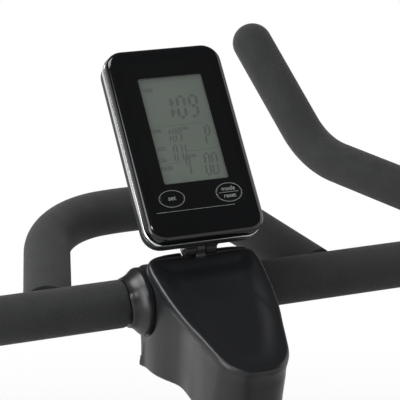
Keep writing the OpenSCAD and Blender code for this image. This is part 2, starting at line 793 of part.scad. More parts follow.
// A frame on a bent tube is [place, heading, left, up]
function go(f, l) = [f[0] + l * f[1], f[1], f[2], f[3]];
function turn_left(f, r, a) = [
    f[0] + r * (f[1] * sin(a) + f[2] * (1 - cos(a))), f[1] * cos(a) + f[2] * sin(a),
    f[2] * cos(a) - f[1] * sin(a), f[3]
];
function turn_up(f, r, a) = [
    f[0] + r * (f[1] * sin(a) + f[3] * (1 - cos(a))), f[1] * cos(a) + f[3] * sin(a), f[2],
    f[3] * cos(a) - f[1] * sin(a)
];

// A frame that starts at p and heads at angle a in a plane that rises by e to the front
function heading(p, a, e) = [
    p, [cos(a) * cos(e), sin(a), cos(a) * sin(e)],
    [-sin(a) * cos(e), cos(a), -sin(a) * sin(e)], [-sin(e), 0, cos(e)]
];

tube_sides = 20;

// Points of a ring of radius r on a frame
function ring_points(f, r) = [
    for (i = [0:tube_sides - 1]) f[0] + r * (f[2] * cos(360 * i / tube_sides) + f[3] * sin(360 * i / tube_sides))
];

// Solid skin through rings, each a [frame, radius], closed at both ends
module skin(rings) {
    n = tube_sides;
    last = len(rings) - 1;
    polyhedron(
        points = [for (q = rings) each ring_points(q[0], q[1])],
        faces = [
            [for (i = [0:n - 1]) i],
            [for (i = [n - 1:-1:0]) last * n + i],
            for (k = [0:last - 1], i = [0:n - 1], t = [0, 1]) t == 0
                ? [k * n + i, (k + 1) * n + (i + 1) % n, k * n + (i + 1) % n]
                : [k * n + i, (k + 1) * n + i, (k + 1) * n + (i + 1) % n]
        ],
        convexity = 6
    );
}

// Bent rod of radius r along frames
module bent_rod(frames, r) skin([for (f = frames) [f, r]]);

// Frames along the bars on the rider's right, from y0 off the centre to the round tip
bend_steps = 12;
bar_start = heading([0, 0, 0], -90, bar_rise);
bar_bend = go(bar_start, bar_half);
horn_start = turn_left(bar_bend, bar_bend_r, 90 + horn_in);
horn_bend = go(horn_start, horn_low);
horn_end = turn_up(horn_bend, horn_bend_r, horn_up);
bar_tip = go(horn_end, horn_tip);
function bar_frames(y0) = [
    go(bar_start, y0),
    for (i = [0:bend_steps]) turn_left(bar_bend, bar_bend_r, (90 + horn_in) * i / bend_steps),
    for (i = [0:6]) turn_up(horn_bend, horn_bend_r, horn_up * i / 6),
    bar_tip
];

// Frames along the middle loop, from the left leg round to the right leg
loop_turn = 90 - loop_in - loop_bow;
loop_front_y = loop_half - loop_leg * sin(loop_in) - loop_bend_r * (cos(loop_in) - sin(loop_bow));
loop_front_r = loop_front_y / sin(loop_bow);
loop_left = go(heading([0, loop_half, 0], -loop_in, loop_rise), 4);
loop_left_end = go(loop_left, loop_leg - 4);
loop_front = turn_left(loop_left_end, -loop_bend_r, -loop_turn);
loop_right_bend = turn_left(loop_front, -loop_front_r, -2 * loop_bow);
loop_right_end = turn_left(loop_right_bend, -loop_bend_r, -loop_turn);
loop_frames = [
    loop_left,
    for (i = [0:8]) turn_left(loop_left_end, -loop_bend_r, -loop_turn * i / 8),
    for (i = [1:4]) turn_left(loop_front, -loop_front_r, -2 * loop_bow * i / 4),
    for (i = [1:8]) turn_left(loop_right_bend, -loop_bend_r, -loop_turn * i / 8),
    go(loop_right_end, loop_leg - 4)
];
loop_tube_r = bar_r - 2;

// A frame seen in the mirror plane Y = 0, heading the other way along its tube
function mirrored(f) = let (m = [1, -1, 1])
    [[for (i = [0:2]) m[i] * f[0][i]], [for (i = [0:2]) -m[i] * f[1][i]], [for (i = [0:2]) m[i] * f[2][i]],
        [for (i = [0:2]) m[i] * f[3][i]]];

module handlebar_tube() color("silver") bar_frame() {
    half = bar_frames(collar_out);
    bent_rod([for (i = [len(half) - 1:-1:0]) mirrored(half[i]), each half], bar_r);
    difference() {
        bent_rod(loop_frames, loop_tube_r);
        y_rod(bar_r + fixed_gap, -bar_half, bar_half);
    }
}

// Foam over one side of the bars, with a round tip
module grip(m) color("dimgray") bar_frame() mirror([0, m, 0]) difference() {
    skin([
        for (f = bar_frames(collar_out)) [f, foam_r],
        for (a = [20:20:80]) [go(bar_tip, foam_r * sin(a)), foam_r * cos(a)]
    ]);
    bent_rod(bar_frames(collar_out - 1), bar_r + fixed_gap);
    mirror([0, 1, 0]) bent_rod([loop_frames[0], loop_frames[1]], loop_tube_r + fixed_gap);
}
module grip_left() grip(1);
module grip_right() grip(0);

module loop_grip() color("dimgray") bar_frame() difference() {
    bent_rod(loop_frames, foam_r);
    bent_rod(loop_frames, loop_tube_r + fixed_gap);
    y_rod(foam_r + 0.1, -bar_half, bar_half);
}

// Flared sleeves where the bar leaves the stem cover
module bar_collars() color("black") bar_frame() for (m = [0, 1]) mirror([0, m, 0])
    translate([0, cover_half + 0.2, 0]) rotate([-90, 0, 0]) rotate_extrude() polygon([
        [bar_r + fixed_gap, 0], [collar_r - 0.5, 0], [collar_r, 4], [22, 9], [foam_r + 0.6, 15.5],
        [bar_r + fixed_gap, 15.5]
    ]);

stem_arm_w = 40;

// Post with the stem and the clamp that carry the bars
module handlebar_post() color("silver") difference() {
    union() {
        post_frame() translate([0, 0, post_bottom])
            tube(post_d, post_w, post_corner, post_wall, -post_bottom);
        bar_frame() {
            along([-post_behind, -post_below - 4], [0, 0]) span([-12, -16, -6], [12, 16, 90]);
            y_rod(21, -26, 26);
        }
    }
    bar_frame() y_rod(bar_r + fixed_gap, -30, 30);
}

// ---------------------------------------------------------------- stem cover

cover_slope = 24.7;
cover_top_x = -18;
cover_top_z = 38;
neck_d = 58;
neck_w = 43;

// Frame of the sloping top of the cover: -X runs down towards the rider
module cover_top_frame() translate([cover_top_x, 0, cover_top_z]) rotate([0, -cover_slope, 0]) children();

// Plan of the shield-shaped top
module shield_plan() for (p = [[-8, 33.5, 8], [-46, 32.5, 8], [-98, 6, 20]], side = [-1, 1])
    translate([p[0], side * p[1], 0]) cylinder(r = p[2], h = 12, $fn = 32);

// Everything behind the parting plane when s is -1, and in front of it when s is 1
module cover_side(s) translate([-10.5, 0, 0]) rotate([0, -post_lean, 0])
    translate([s > 0 ? 0.1 : -200, -100, -120]) cube([199.9, 200, 240]);

// Space for the stem, the clamp and the post
module cover_hollow() {
    y_rod(23, -28, 28);
    y_rod(bar_r + 0.3, -60, 60);
    along([-post_behind, -post_below - 4], [0, 0]) span([-15, -22, -20], [15, 22, 90]);
    neck_frame() translate([0, 0, -neck_length - 1]) bar(post_d + 1, post_w + 1, post_corner, neck_length + 4);
}

// Frame of the console hinge: Y along the pin
module hinge_frame() translate([console_x - bar_x, 0, console_z - bar_height])
    rotate([0, console_lean - 90, 0]) translate([hinge_v, 0, hinge_n]) children();

module neck_frame() translate([-post_behind, 0, -post_below]) rotate([0, -post_lean, 0]) children();

module stem_cover_rear() color("black") bar_frame() difference() {
    union() {
        intersection() {
            union() {
                cover_top_frame() translate([0, 0, -12]) hull() shield_plan();
                // Side cheeks under the front of the shield
                hull() {
                    cover_top_frame() span([-44, -38, -12], [12, 38, -11]);
                    span([-40, -38, -46], [10, 38, -43]);
                }
                // Blend between the shield and the neck
                hull() {
                    cover_top_frame() span([-104, -18, -12], [-34, 18, -11]);
                    neck_frame() translate([0, 0, -26]) bar(neck_d, neck_w - 4, 16, 1);
                }
                neck_frame() translate([0, 0, -neck_length]) bar(neck_d, neck_w, 16, neck_length + 16);
            }
            cover_side(-1);
            cover_top_frame() span([-200, -100, -300], [100, 100, 0]);
        }
        // Middle knuckle of the console hinge
        hinge_frame() y_rod(hinge_r, -3.7, 3.7);
        span([-26, -3.7, 26], [-13, 3.7, 41]);
    }
    cover_hollow();
    hinge_frame() {
        y_rod(hinge_pin_r + run_gap, -20, 20);
        for (y = [-13, 4]) y_rod(hinge_r + 1, y, y + 9);
    }
    // Room for the flared sleeves
    for (m = [0, 1]) mirror([0, m, 0]) y_rod(collar_r + 0.3, cover_half + 0.1, cover_half + 20);
}

module stem_cover_front() color("black") bar_frame() difference() {
    intersection() {
        hull() {
            y_rod(29, -cover_half, cover_half);
            span([-20, -cover_half, -48], [8, cover_half, -46]);
            span([-16, -cover_half, 26], [-4, cover_half, 29]);
        }
        cover_side(1);
    }
    cover_hollow();
    cover_top_frame() translate([-30, -60, 0]) cube([60, 120, 40]);
    // Room for the middle knuckle of the hinge
    hinge_frame() y_rod(hinge_r + 0.3, -4, 4);
    span([-30, -4, 20], [-12.7, 4, 60]);
}

// ---------------------------------------------------------------- console

module console_slab(grow, z0, z1) translate([0, face_mid, z0])
    bar(console_w + 2 * grow, console_h + 2 * grow, console_corner + grow, z1 - z0);

function button_w(i) = i == 0 ? 18 : 18.5;
function button_h(i) = i == 0 ? 11.4 : 13;

// Oval key. Key 0 is on the rider's left and key 1 on the right.
module key(i, grow, z0, z1) translate([i == 0 ? -button_x : button_x, button_y, z0])
    linear_extrude(z1 - z0) polygon(ellipse_points(button_w(i) / 2 + grow, button_h(i) / 2 + grow));

film_w = 72;
film_top = 54;
film_low = -62.4;

module film_slab(grow, z0, z1) translate([0, (film_top + film_low) / 2, z0])
    bar(film_w + 2 * grow, film_top - film_low + 2 * grow, 6 + grow, z1 - z0);

module console_front() color("black") console_frame() difference() {
    console_slab(0, -bezel_t, 0);
    console_slab(-3.5, -bezel_t - 1, -film_t - 1.6);
    film_slab(0.05, -film_t - 0.05, 1);
    translate([0, 0, -5]) bar(window_w, window_h, 1.5, 10);
    for (i = [0, 1]) key(i, slide_gap, -5, 1);
}

module console_lens() color("gray") console_frame() difference() {
    film_slab(0, -film_t, 0);
    for (i = [0, 1]) key(i, slide_gap, -5, 1);
}

module button_set() color("black") console_frame() key(0, 0, -5.2, 0.4);
module button_mode() color("black") console_frame() key(1, 0, -5.2, 0.4);

module lcd_panel() color("darkseagreen") console_frame() translate([0, 0, -5.2]) bar(56, 88, 1, 2.5);

module circuit_board() color("green") console_frame() translate([0, -6, -7.9]) bar(72, 124, 2, 1.6);

module console_trim() color("silver") console_frame() difference() {
    console_slab(0.6, -bezel_t - trim_t, -bezel_t - 0.05);
    console_slab(-5, -bezel_t - trim_t - 1, -bezel_t + 1);
}

back_z = -bezel_t - trim_t - back_t;
cell_r = 7.1;
cell_l = 50.2;
cell_y = [-1, -16];
cell_z = back_z - cell_r - 1.1;
door_y0 = -29;
door_y1 = 11;

module console_back() color("black") console_frame() difference() {
    union() {
        console_slab(-0.6, back_z, -bezel_t - trim_t - 0.05);
        translate([0, (door_y0 + door_y1) / 2, back_z - 15.5]) bar(66, door_y1 - door_y0 + 8, 5, 16);
        for (side = [-1, 1]) {
            translate([side * 8, hinge_v, hinge_n]) rotate([0, 90, 0]) cylinder(r = hinge_r, h = 8, center = true);
            span([side * 8 - 4, hinge_v - 3, hinge_n], [side * 8 + 4, hinge_v + 6, back_z + 1]);
        }
    }
    console_slab(-3.5, back_z + 2, 0);
    // Battery compartment, open to the back
    translate([0, (door_y0 + door_y1) / 2, back_z - 20]) bar(56, door_y1 - door_y0 - 4, 2, 19);
    translate([0, hinge_v, hinge_n]) rotate([0, 90, 0]) cylinder(r = hinge_pin_r + fixed_gap, h = 60, center = true);
}

module batteries() color("orange") console_frame() for (y = cell_y) translate([-cell_l / 2, y, cell_z])
    rotate([0, 90, 0]) {
        cylinder(r = cell_r, h = cell_l - 1.2, $fn = 32);
        translate([0, 0, cell_l - 1.3]) cylinder(r = 2.6, h = 1.3, $fn = 24);
    }

module battery_door() color("black") console_frame()
    translate([0, (door_y0 + door_y1) / 2, back_z - 15.5 - slide_gap - 2]) bar(60, door_y1 - door_y0, 3, 2);

module console_hinge_pin() color("silver") console_frame() translate([0, hinge_v, hinge_n]) rotate([0, 90, 0])
    cylinder(r = hinge_pin_r, h = 26, center = true);

// ---------------------------------------------------------------- parts

head_tube();
post_bushings();
down_tube();
seat_tube();
rear_beam();
fork_left();
fork_right();
front_stabilizer();
rear_stabilizer();
stabilizer_end_caps();
ball_bearings();
flywheel_axle();
frame_fasteners();
belt_guard_inner();
belt_guard_outer();
drive_belt();
transport_wheel_left();
transport_wheel_right();
levelling_foot_left();
levelling_foot_right();
crank_spindle();
drive_pulley();
crank_left();
crank_right();
pedal_axles();
pedal_left();
pedal_right();
flywheel();
flywheel_pulley();
brake_rod();
brake_spring();
brake_pad();
resistance_knob();
seat_post();
seat_carriage();
saddle_rails();
saddle_shell();
saddle_cushion();
seat_height_knob();
seat_slide_knob();
handlebar_post();
handlebar_knob();
handlebar_tube();
grip_left();
grip_right();
loop_grip();
bar_collars();
stem_cover_rear();
stem_cover_front();
console_hinge_pin();
console_back();
console_trim();
console_front();
console_lens();
lcd_panel();
circuit_board();
button_set();
button_mode();
battery_door();
batteries();
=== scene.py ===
"""Finished look of an indoor exercise bike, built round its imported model.

Sizes are in millimetres unless a name or a comment says metres. The row frame has
+X forward, +Y to the rider's left and +Z up, with its origin on the floor.
"""

import json
import logging
import math
from dataclasses import dataclass, field
from enum import Enum
from typing import Callable, Iterable, Sequence

import bmesh
import bpy
import numpy as np
import openvdb
from mathutils import Matrix, Vector
from mathutils.bvhtree import BVHTree

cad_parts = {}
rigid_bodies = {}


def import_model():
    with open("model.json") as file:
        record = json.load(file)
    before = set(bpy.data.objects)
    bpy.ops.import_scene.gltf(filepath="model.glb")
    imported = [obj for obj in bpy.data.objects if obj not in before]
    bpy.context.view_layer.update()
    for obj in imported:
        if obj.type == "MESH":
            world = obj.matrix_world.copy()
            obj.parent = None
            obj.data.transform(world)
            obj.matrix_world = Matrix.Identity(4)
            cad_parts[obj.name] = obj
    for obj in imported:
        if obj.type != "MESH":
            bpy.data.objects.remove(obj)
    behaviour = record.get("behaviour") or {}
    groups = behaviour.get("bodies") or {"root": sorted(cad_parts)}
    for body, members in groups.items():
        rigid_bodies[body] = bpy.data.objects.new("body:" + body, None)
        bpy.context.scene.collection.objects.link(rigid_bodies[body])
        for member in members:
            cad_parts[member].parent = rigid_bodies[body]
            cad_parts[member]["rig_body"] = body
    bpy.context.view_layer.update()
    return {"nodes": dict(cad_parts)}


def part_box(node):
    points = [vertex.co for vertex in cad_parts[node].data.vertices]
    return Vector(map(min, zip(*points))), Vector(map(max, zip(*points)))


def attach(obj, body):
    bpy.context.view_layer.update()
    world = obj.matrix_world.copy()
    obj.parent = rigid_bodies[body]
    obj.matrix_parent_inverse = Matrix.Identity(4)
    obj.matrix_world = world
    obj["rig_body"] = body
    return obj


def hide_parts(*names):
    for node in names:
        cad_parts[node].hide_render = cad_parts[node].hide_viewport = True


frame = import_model()

LOG = logging.getLogger("bike")
MM = 0.001
Point = Sequence[float]


# ------------------------------------------------------------------ small tools


def linear(hex_colour: str) -> tuple[float, float, float, float]:
    """Turn an sRGB hex value into a linear colour.

    Args:
        hex_colour: Six hex digits, such as "1f2022".

    Returns:
        Red, green, blue and an alpha of one.
    """
    parts = [int(hex_colour[i : i + 2], 16) / 255 for i in (0, 2, 4)]
    r, g, b = (p / 12.92 if p <= 0.04045 else ((p + 0.055) / 1.055) ** 2.4 for p in parts)
    return r, g, b, 1.0


def add_node(
    tree: bpy.types.NodeTree,
    kind: str,
    inputs: dict[str | int, object] | None = None,
    **settings: object,
) -> bpy.types.Node:
    """Add a node with its settings, values and links.

    Args:
        tree: Tree that takes the node.
        kind: Type name of the node.
        inputs: Input name or number, with a value or an output socket to link.
        settings: Properties of the node itself.

    Returns:
        The new node.
    """
    node = tree.nodes.new(kind)
    for name, value in settings.items():
        setattr(node, name, value)
    for key, value in (inputs or {}).items():
        if isinstance(value, bpy.types.NodeSocket):
            tree.links.new(value, node.inputs[key])
        else:
            node.inputs[key].default_value = value
    return node


def scale_for(size: float) -> float:
    """Texture scale whose features are about size millimetres across."""
    return 1.0 / (size * MM)


def new_mesh(
    name: str,
    points: Iterable[Point],
    faces: Sequence[Sequence[int]],
    place: Matrix,
    smooth_below: float | None = 35.0,
) -> bpy.types.Mesh:
    """Make a mesh from points in millimetres.

    Args:
        name: Name of the mesh.
        points: Corner points in the piece's own frame.
        faces: Corner numbers of each face.
        place: Matrix from millimetres in that frame to metres in the row frame.
        smooth_below: Edges flatter than this many degrees are shaded smooth, none if None.

    Returns:
        The finished mesh, in metres.
    """
    mesh = bpy.data.meshes.new(name)
    mesh.from_pydata([tuple(p) for p in points], [], [tuple(f) for f in faces])
    mesh.transform(place)
    work = bmesh.new()
    work.from_mesh(mesh)
    bmesh.ops.remove_doubles(work, verts=work.verts, dist=1e-6)
    bmesh.ops.recalc_face_normals(work, faces=work.faces)
    work.to_mesh(mesh)
    work.free()
    shade(mesh, smooth_below)
    return mesh


def shade(mesh: bpy.types.Mesh, smooth_below: float | None) -> None:
    """Shade a mesh smooth across the edges that are flatter than an angle.

    Args:
        mesh: Mesh to shade.
        smooth_below: Angle in degrees, or None for flat shading.
    """
    if smooth_below is None:
        mesh.shade_flat()
        return
    mesh.shade_smooth()
    mesh.set_sharp_from_angle(angle=math.radians(smooth_below))


def joined(name: str, meshes: Sequence[bpy.types.Mesh]) -> bpy.types.Mesh:
    """Join meshes into one.

    Args:
        name: Name of the joined mesh.
        meshes: Meshes to join; they are removed.

    Returns:
        The joined mesh.
    """
    work = bmesh.new()
    for mesh in meshes:
        work.from_mesh(mesh)
    result = bpy.data.meshes.new(name)
    work.to_mesh(result)
    work.free()
    for mesh in meshes:
        bpy.data.meshes.remove(mesh)
    return result


def baked(piece: bpy.types.Object) -> bpy.types.Mesh:
    """Turn an object with modifiers into a plain mesh and remove the object.

    Args:
        piece: Object whose modifiers are applied.

    Returns:
        The plain mesh.
    """
    graph = bpy.context.evaluated_depsgraph_get()
    graph.update()
    mesh = bpy.data.meshes.new_from_object(piece.evaluated_get(graph))
    bpy.data.objects.remove(piece)
    return mesh


def stand_in(mesh: bpy.types.Mesh) -> bpy.types.Object:
    """Put a mesh in the scene for a while, so that modifiers can work on it."""
    piece = bpy.data.objects.new(mesh.name, mesh)
    bpy.context.scene.collection.objects.link(piece)
    return piece


def box_of(node: str) -> tuple[Vector, Vector, Vector]:
    """Lowest corner, highest corner and centre of a CAD node, in metres."""
    low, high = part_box(node)
    return low, high, (low + high) / 2


def rounded_loop(
    w: float, h: float, r: float, z: float, cx: float = 0.0, cy: float = 0.0, n: int = 8
) -> list[Point]:
    """Points of a rectangle with rounded corners, in a plane of constant z.

    Args:
        w: Width along X.
        h: Height along Y.
        r: Corner radius.
        z: Height of the plane.
        cx: Middle along X.
        cy: Middle along Y.
        n: Steps in each corner.

    Returns:
        The points, anticlockwise.
    """
    r = max(r, 0.05)
    points = []
    for sx, sy, start in ((1, 1, 0), (-1, 1, 90), (-1, -1, 180), (1, -1, 270)):
        for i in range(n + 1):
            a = math.radians(start + 90 * i / n)
            points.append(
                (cx + sx * (w / 2 - r) + r * math.cos(a), cy + sy * (h / 2 - r) + r * math.sin(a), z)
            )
    return points


def oval_loop(a: float, b: float, z: float, cx: float = 0.0, cy: float = 0.0, n: int = 48) -> list[Point]:
    """Points of an oval with half-axes a and b in a plane of constant z."""
    return [
        (cx + a * math.cos(2 * math.pi * i / n), cy + b * math.sin(2 * math.pi * i / n), z)
        for i in range(n)
    ]


def loft(loops: Sequence[Sequence[Point]], ring: bool = False) -> tuple[list[Point], list[list[int]]]:
    """Skin loops that have the same number of points.

    Args:
        loops: Loops in order.
        ring: Join the last loop to the first; otherwise both ends are closed flat.

    Returns:
        Points and faces.
    """
    n = len(loops[0])
    points = [p for loop in loops for p in loop]
    faces = []
    for k in range(len(loops) if ring else len(loops) - 1):
        a, b = k * n, ((k + 1) % len(loops)) * n
        faces += [[a + i, a + (i + 1) % n, b + (i + 1) % n, b + i] for i in range(n)]
    if not ring:
        faces += [list(range(n))[::-1], [(len(loops) - 1) * n + i for i in range(n)]]
    return points, faces


def turned(
    profile: Sequence[tuple[float, float]], sides: int = 96, closed: bool = True
) -> tuple[list[Point], list[list[int]]]:
    """Turn a profile of radius and height round Z.

    Args:
        profile: Radius and height of each point.
        sides: Steps round the axis.
        closed: Join the last point of the profile to the first.

    Returns:
        Points and faces.
    """
    points = [
        (r * math.cos(2 * math.pi * i / sides), r * math.sin(2 * math.pi * i / sides), z)
        for r, z in profile
        for i in range(sides)
    ]
    faces = []
    count = len(profile)
    for k in range(count if closed else count - 1):
        a, b = k * sides, ((k + 1) % count) * sides
        faces += [[a + i, a + (i + 1) % sides, b + (i + 1) % sides, b + i] for i in range(sides)]
    return points, faces


def plate(
    name: str,
    outer: Sequence[Point],
    holes: Sequence[Sequence[Point]],
    depth: float,
    place: Matrix,
) -> bpy.types.Mesh:
    """Make a flat plate with holes.

    Args:
        name: Name of the mesh.
        outer: Outline of the front face.
        holes: Outlines of the holes in the front face.
        depth: Thickness behind the front face.
        place: Matrix to metres in the row frame.

    Returns:
        The plate.
    """
    work = bmesh.new()
    edges = []
    for loop in (outer, *holes):
        corners = [work.verts.new(p) for p in loop]
        edges += [work.edges.new((corners[i - 1], corners[i])) for i in range(len(corners))]
    bmesh.ops.triangle_fill(work, edges=edges, use_beauty=True)
    made = bmesh.ops.extrude_face_region(work, geom=list(work.faces))
    moved = [g for g in made["geom"] if isinstance(g, bmesh.types.BMVert)]
    bmesh.ops.translate(work, verts=moved, vec=(0, 0, -depth))
    bmesh.ops.transform(work, matrix=place, verts=work.verts)
    bmesh.ops.recalc_face_normals(work, faces=work.faces)
    mesh = bpy.data.meshes.new(name)
    work.to_mesh(mesh)
    work.free()
    shade(mesh, 30)
    return mesh


# ------------------------------------------------------------------ finishes


class Grain(Enum):
    """How the fine relief of a surface is laid out."""

    NONE = "none"
    PEBBLE = "pebble"
    CELLS = "cells"
    LINES = "lines"


@dataclass(frozen=True)
class Finish:
    """A procedural material and the record's slot that it belongs to.

    The colour drifts between colour and shade over patches of drift millimetres, and the
    relief has features of grain_size millimetres that are depth millimetres deep.
    """

    name: str
    slot: str
    colour: str
    shade: str
    roughness: tuple[float, float]
    drift: float = 40.0
    metallic: float = 0.0
    ior: float = 1.5
    grain: Grain = Grain.PEBBLE
    grain_size: float = 1.0
    depth: float = 0.02
    stretch: tuple[float, float, float] = (1.0, 1.0, 1.0)
    coat: float = 0.0
    coat_roughness: float = 0.05
    sheen: float = 0.0
    alpha: float = 1.0
    speck: float = 0.0

    def material(self) -> bpy.types.Material:
        """Return the material, building it the first time."""
        made = bpy.data.materials.get(self.name)
        return made or self.build()

    def build(self) -> bpy.types.Material:
        """Build the node tree.

        Returns:
            The new material.
        """
        material = bpy.data.materials.new(self.name)
        material.use_nodes = True
        material.diffuse_color = linear(self.colour)
        tree = material.node_tree
        tree.nodes.clear()
        place = add_node(
            tree,
            "ShaderNodeMapping",
            {"Vector": add_node(tree, "ShaderNodeTexCoord").outputs["Object"], "Scale": self.stretch},
        ).outputs["Vector"]
        patches = add_node(
            tree,
            "ShaderNodeTexNoise",
            {"Vector": place, "Scale": scale_for(self.drift), "Detail": 4.0, "Roughness": 0.6},
        ).outputs["Fac"]
        fine = add_node(
            tree,
            "ShaderNodeTexNoise",
            {"Vector": place, "Scale": scale_for(self.grain_size), "Detail": 3.0, "Roughness": 0.6},
        ).outputs["Fac"]
        mix = add_node(
            tree,
            "ShaderNodeMapRange",
            {
                "Value": add_node(
                    tree,
                    "ShaderNodeMath",
                    {
                        0: add_node(
                            tree, "ShaderNodeMath", {0: fine, 1: self.speck}, operation="MULTIPLY"
                        ).outputs[0],
                        1: patches,
                    },
                    operation="ADD",
                ).outputs[0],
                "From Min": 0.35,
                "From Max": 0.65 + self.speck,
            },
        ).outputs["Result"]
        tint = add_node(
            tree,
            "ShaderNodeMix",
            {"Factor": mix, 6: linear(self.colour), 7: linear(self.shade)},
            data_type="RGBA",
        ).outputs[2]
        gloss = add_node(
            tree,
            "ShaderNodeMapRange",
            {
                "Value": patches, "From Min": 0.3, "From Max": 0.7, "To Min": self.roughness[0],
                "To Max": self.roughness[1]
            },
        ).outputs["Result"]
        shader = add_node(
            tree,
            "ShaderNodeBsdfPrincipled",
            {
                "Base Color": tint,
                "Roughness": gloss,
                "Metallic": self.metallic,
                "Coat Weight": self.coat,
                "Coat Roughness": self.coat_roughness,
                "Sheen Weight": self.sheen,
                "Alpha": self.alpha,
            },
        )
        if self.metallic < 0.5:
            shader.inputs["IOR"].default_value = self.ior
        height = self.relief(tree, place, fine)
        if height is not None:
            bump = add_node(
                tree, "ShaderNodeBump", {"Height": height, "Strength": 1.0, "Distance": self.depth * MM}
            )
            tree.links.new(bump.outputs["Normal"], shader.inputs["Normal"])
        add_node(tree, "ShaderNodeOutputMaterial", {"Surface": shader.outputs["BSDF"]})
        return material

    def relief(
        self, tree: bpy.types.NodeTree, place: bpy.types.NodeSocket, fine: bpy.types.NodeSocket
    ) -> bpy.types.NodeSocket | None:
        """Choose the height pattern of the surface.

        Args:
            tree: The material's tree.
            place: Coordinates to use.
            fine: Fine noise that is already there.

        Returns:
            A height output, or None for a flat surface.
        """
        if self.grain is Grain.NONE:
            return None
        if self.grain is Grain.CELLS:
            cells = add_node(
                tree, "ShaderNodeTexVoronoi", {"Vector": place, "Scale": scale_for(self.grain_size)},
                feature="F1"
            ).outputs["Distance"]
            return add_node(tree, "ShaderNodeMath", {0: cells, 1: fine}, operation="ADD").outputs[0]
        return fine


# Piano-black ABS: injection moulded in a polished mould, so it mirrors the lights.
GLOSS_BLACK = Finish("Piano_black_ABS", "gloss_black", "0a0b0d", "08090a", (0.05, 0.08), grain=Grain.NONE)
# Printed acrylic film: the same black under a flat clear face, a little softer.
PRINTED_FILM = Finish(
    "Printed_acrylic_film", "lens", "0c0d0d", "0a0b0a", (0.07, 0.11), ior=1.49, grain=Grain.NONE
)
# Clear acrylic window: a faint mirror in front of the display.
CLEAR_WINDOW = Finish(
    "Clear_acrylic", "lens", "aab0ac", "a6ada8", (0.04, 0.06), ior=1.49, alpha=0.1, grain=Grain.NONE
)
# Liquid crystal glass: flat grey-green with no relief.
DISPLAY = Finish("LCD_glass", "lcd", "485047", "444c43", (0.35, 0.42), drift=60, grain=Grain.NONE)
# The dark cells of the liquid crystal.
SEGMENT = Finish("LCD_segment", "lcd", "1f231e", "1d211c", (0.35, 0.42), grain=Grain.NONE)
# Silver print on the film: thin pale ink lines. The same pale ink also paints a highlight line along the film's
# bottom edge.
INK_AND_PAINTED_HIGHLIGHT = Finish("Silver_print", "lens", "858b8b", "757b7b", (0.3, 0.4), grain=Grain.NONE)
# Chromed ABS: vacuum plated, a bright clean mirror.
CHROME = Finish("Chromed_ABS", "chrome", "e2e4e6", "d9dbde", (0.16, 0.2), metallic=1.0, grain=Grain.NONE)
# Satin black ABS: fine spark-eroded texture that spreads a highlight into a soft band.
SATIN = Finish(
    "Satin_black_ABS", "black_plastic", "17181a", "141517", (0.3, 0.36), grain_size=0.7, depth=0.006
)
# Coarser black polypropylene for guards, shells and knobs.
MOULDED = Finish(
    "Textured_polypropylene", "black_plastic", "1b1c1d", "161718", (0.48, 0.58), grain_size=1.2, depth=0.03
)
# Nitrile foam: closed cells cut open by the die, matt charcoal with pin-prick pores.
FOAM = Finish(
    "Nitrile_foam", "foam", "272828", "202121", (0.86, 0.95), drift=18, grain=Grain.CELLS, grain_size=1.5,
    depth=0.3, sheen=0.12, speck=0.5,
)
# Powder-coated steel: orange-peel skin with a soft gloss.
POWDER = Finish("Black_powder_coat", "frame_paint", "1d1e20", "18191b", (0.34, 0.42), grain_size=2.2,
                depth=0.03, coat=0.15,
                coat_roughness=0.2)
# Bright zinc-plated steel for nuts, axles and springs.
ZINC = Finish(
    "Zinc_plated_steel", "steel", "a9abac", "8f9295", (0.26, 0.38), metallic=1.0, drift=9,
    grain_size=1.5, depth=0.01
)
# Chromed tube for the sliding posts.
POLISHED = Finish("Chromed_steel", "chrome", "c9cbce", "bfc1c4", (0.09, 0.16), metallic=1.0, drift=60,
                  grain=Grain.LINES,
                  grain_size=3.0, depth=0.002, stretch=(1.0, 1.0, 0.05))
# Machined cast iron: turned with fine circular feed marks.
CAST_IRON = Finish("Machined_cast_iron", "cast_iron", "77797b", "5f6163", (0.3, 0.45), metallic=1.0, drift=25,
                   grain_size=1.6, depth=0.02)
# Forged and tumbled aluminium for cranks and pulleys.
ALUMINIUM = Finish(
    "Forged_aluminium", "aluminium", "8d8f92", "7b7d80", (0.3, 0.42), metallic=1.0, drift=16,
    grain_size=1.2, depth=0.015
)
# Moulded rubber for caps, feet, tyres and the belt.
RUBBER = Finish("Moulded_rubber", "rubber", "191919", "141414", (0.7, 0.82), grain_size=1.4, depth=0.05)
# Polyurethane saddle skin: embossed leather grain of 2 mm cells.
SADDLE_SKIN = Finish("Embossed_polyurethane", "saddle_skin", "1c1c1d", "161617", (0.42, 0.54), drift=30,
                     grain=Grain.CELLS,
                     grain_size=2.2, depth=0.12, sheen=0.08)
# Polyester thread, a shade paler than the skin.
THREAD = Finish("Polyester_thread", "saddle_skin", "4a4b4d", "3d3e40", (0.7, 0.8), grain_size=0.5, depth=0.05)
# Pressed wool felt of the brake pad.
FELT = Finish(
    "Pressed_felt", "felt", "7b5f41", "664d33", (0.9, 0.97), drift=6, grain_size=0.8, depth=0.25,
    sheen=0.2, speck=0.4
)
# Glass-fibre board with green solder mask.
BOARD = Finish("Solder_mask", "board", "1d5a34", "174a2b", (0.3, 0.4), drift=12, grain_size=1.0, depth=0.02)
# Shrink-wrapped dry cells.
CELL = Finish("Cell_wrap", "cell", "8a5a2c", "7a4e24", (0.3, 0.36), metallic=0.3, grain=Grain.NONE)


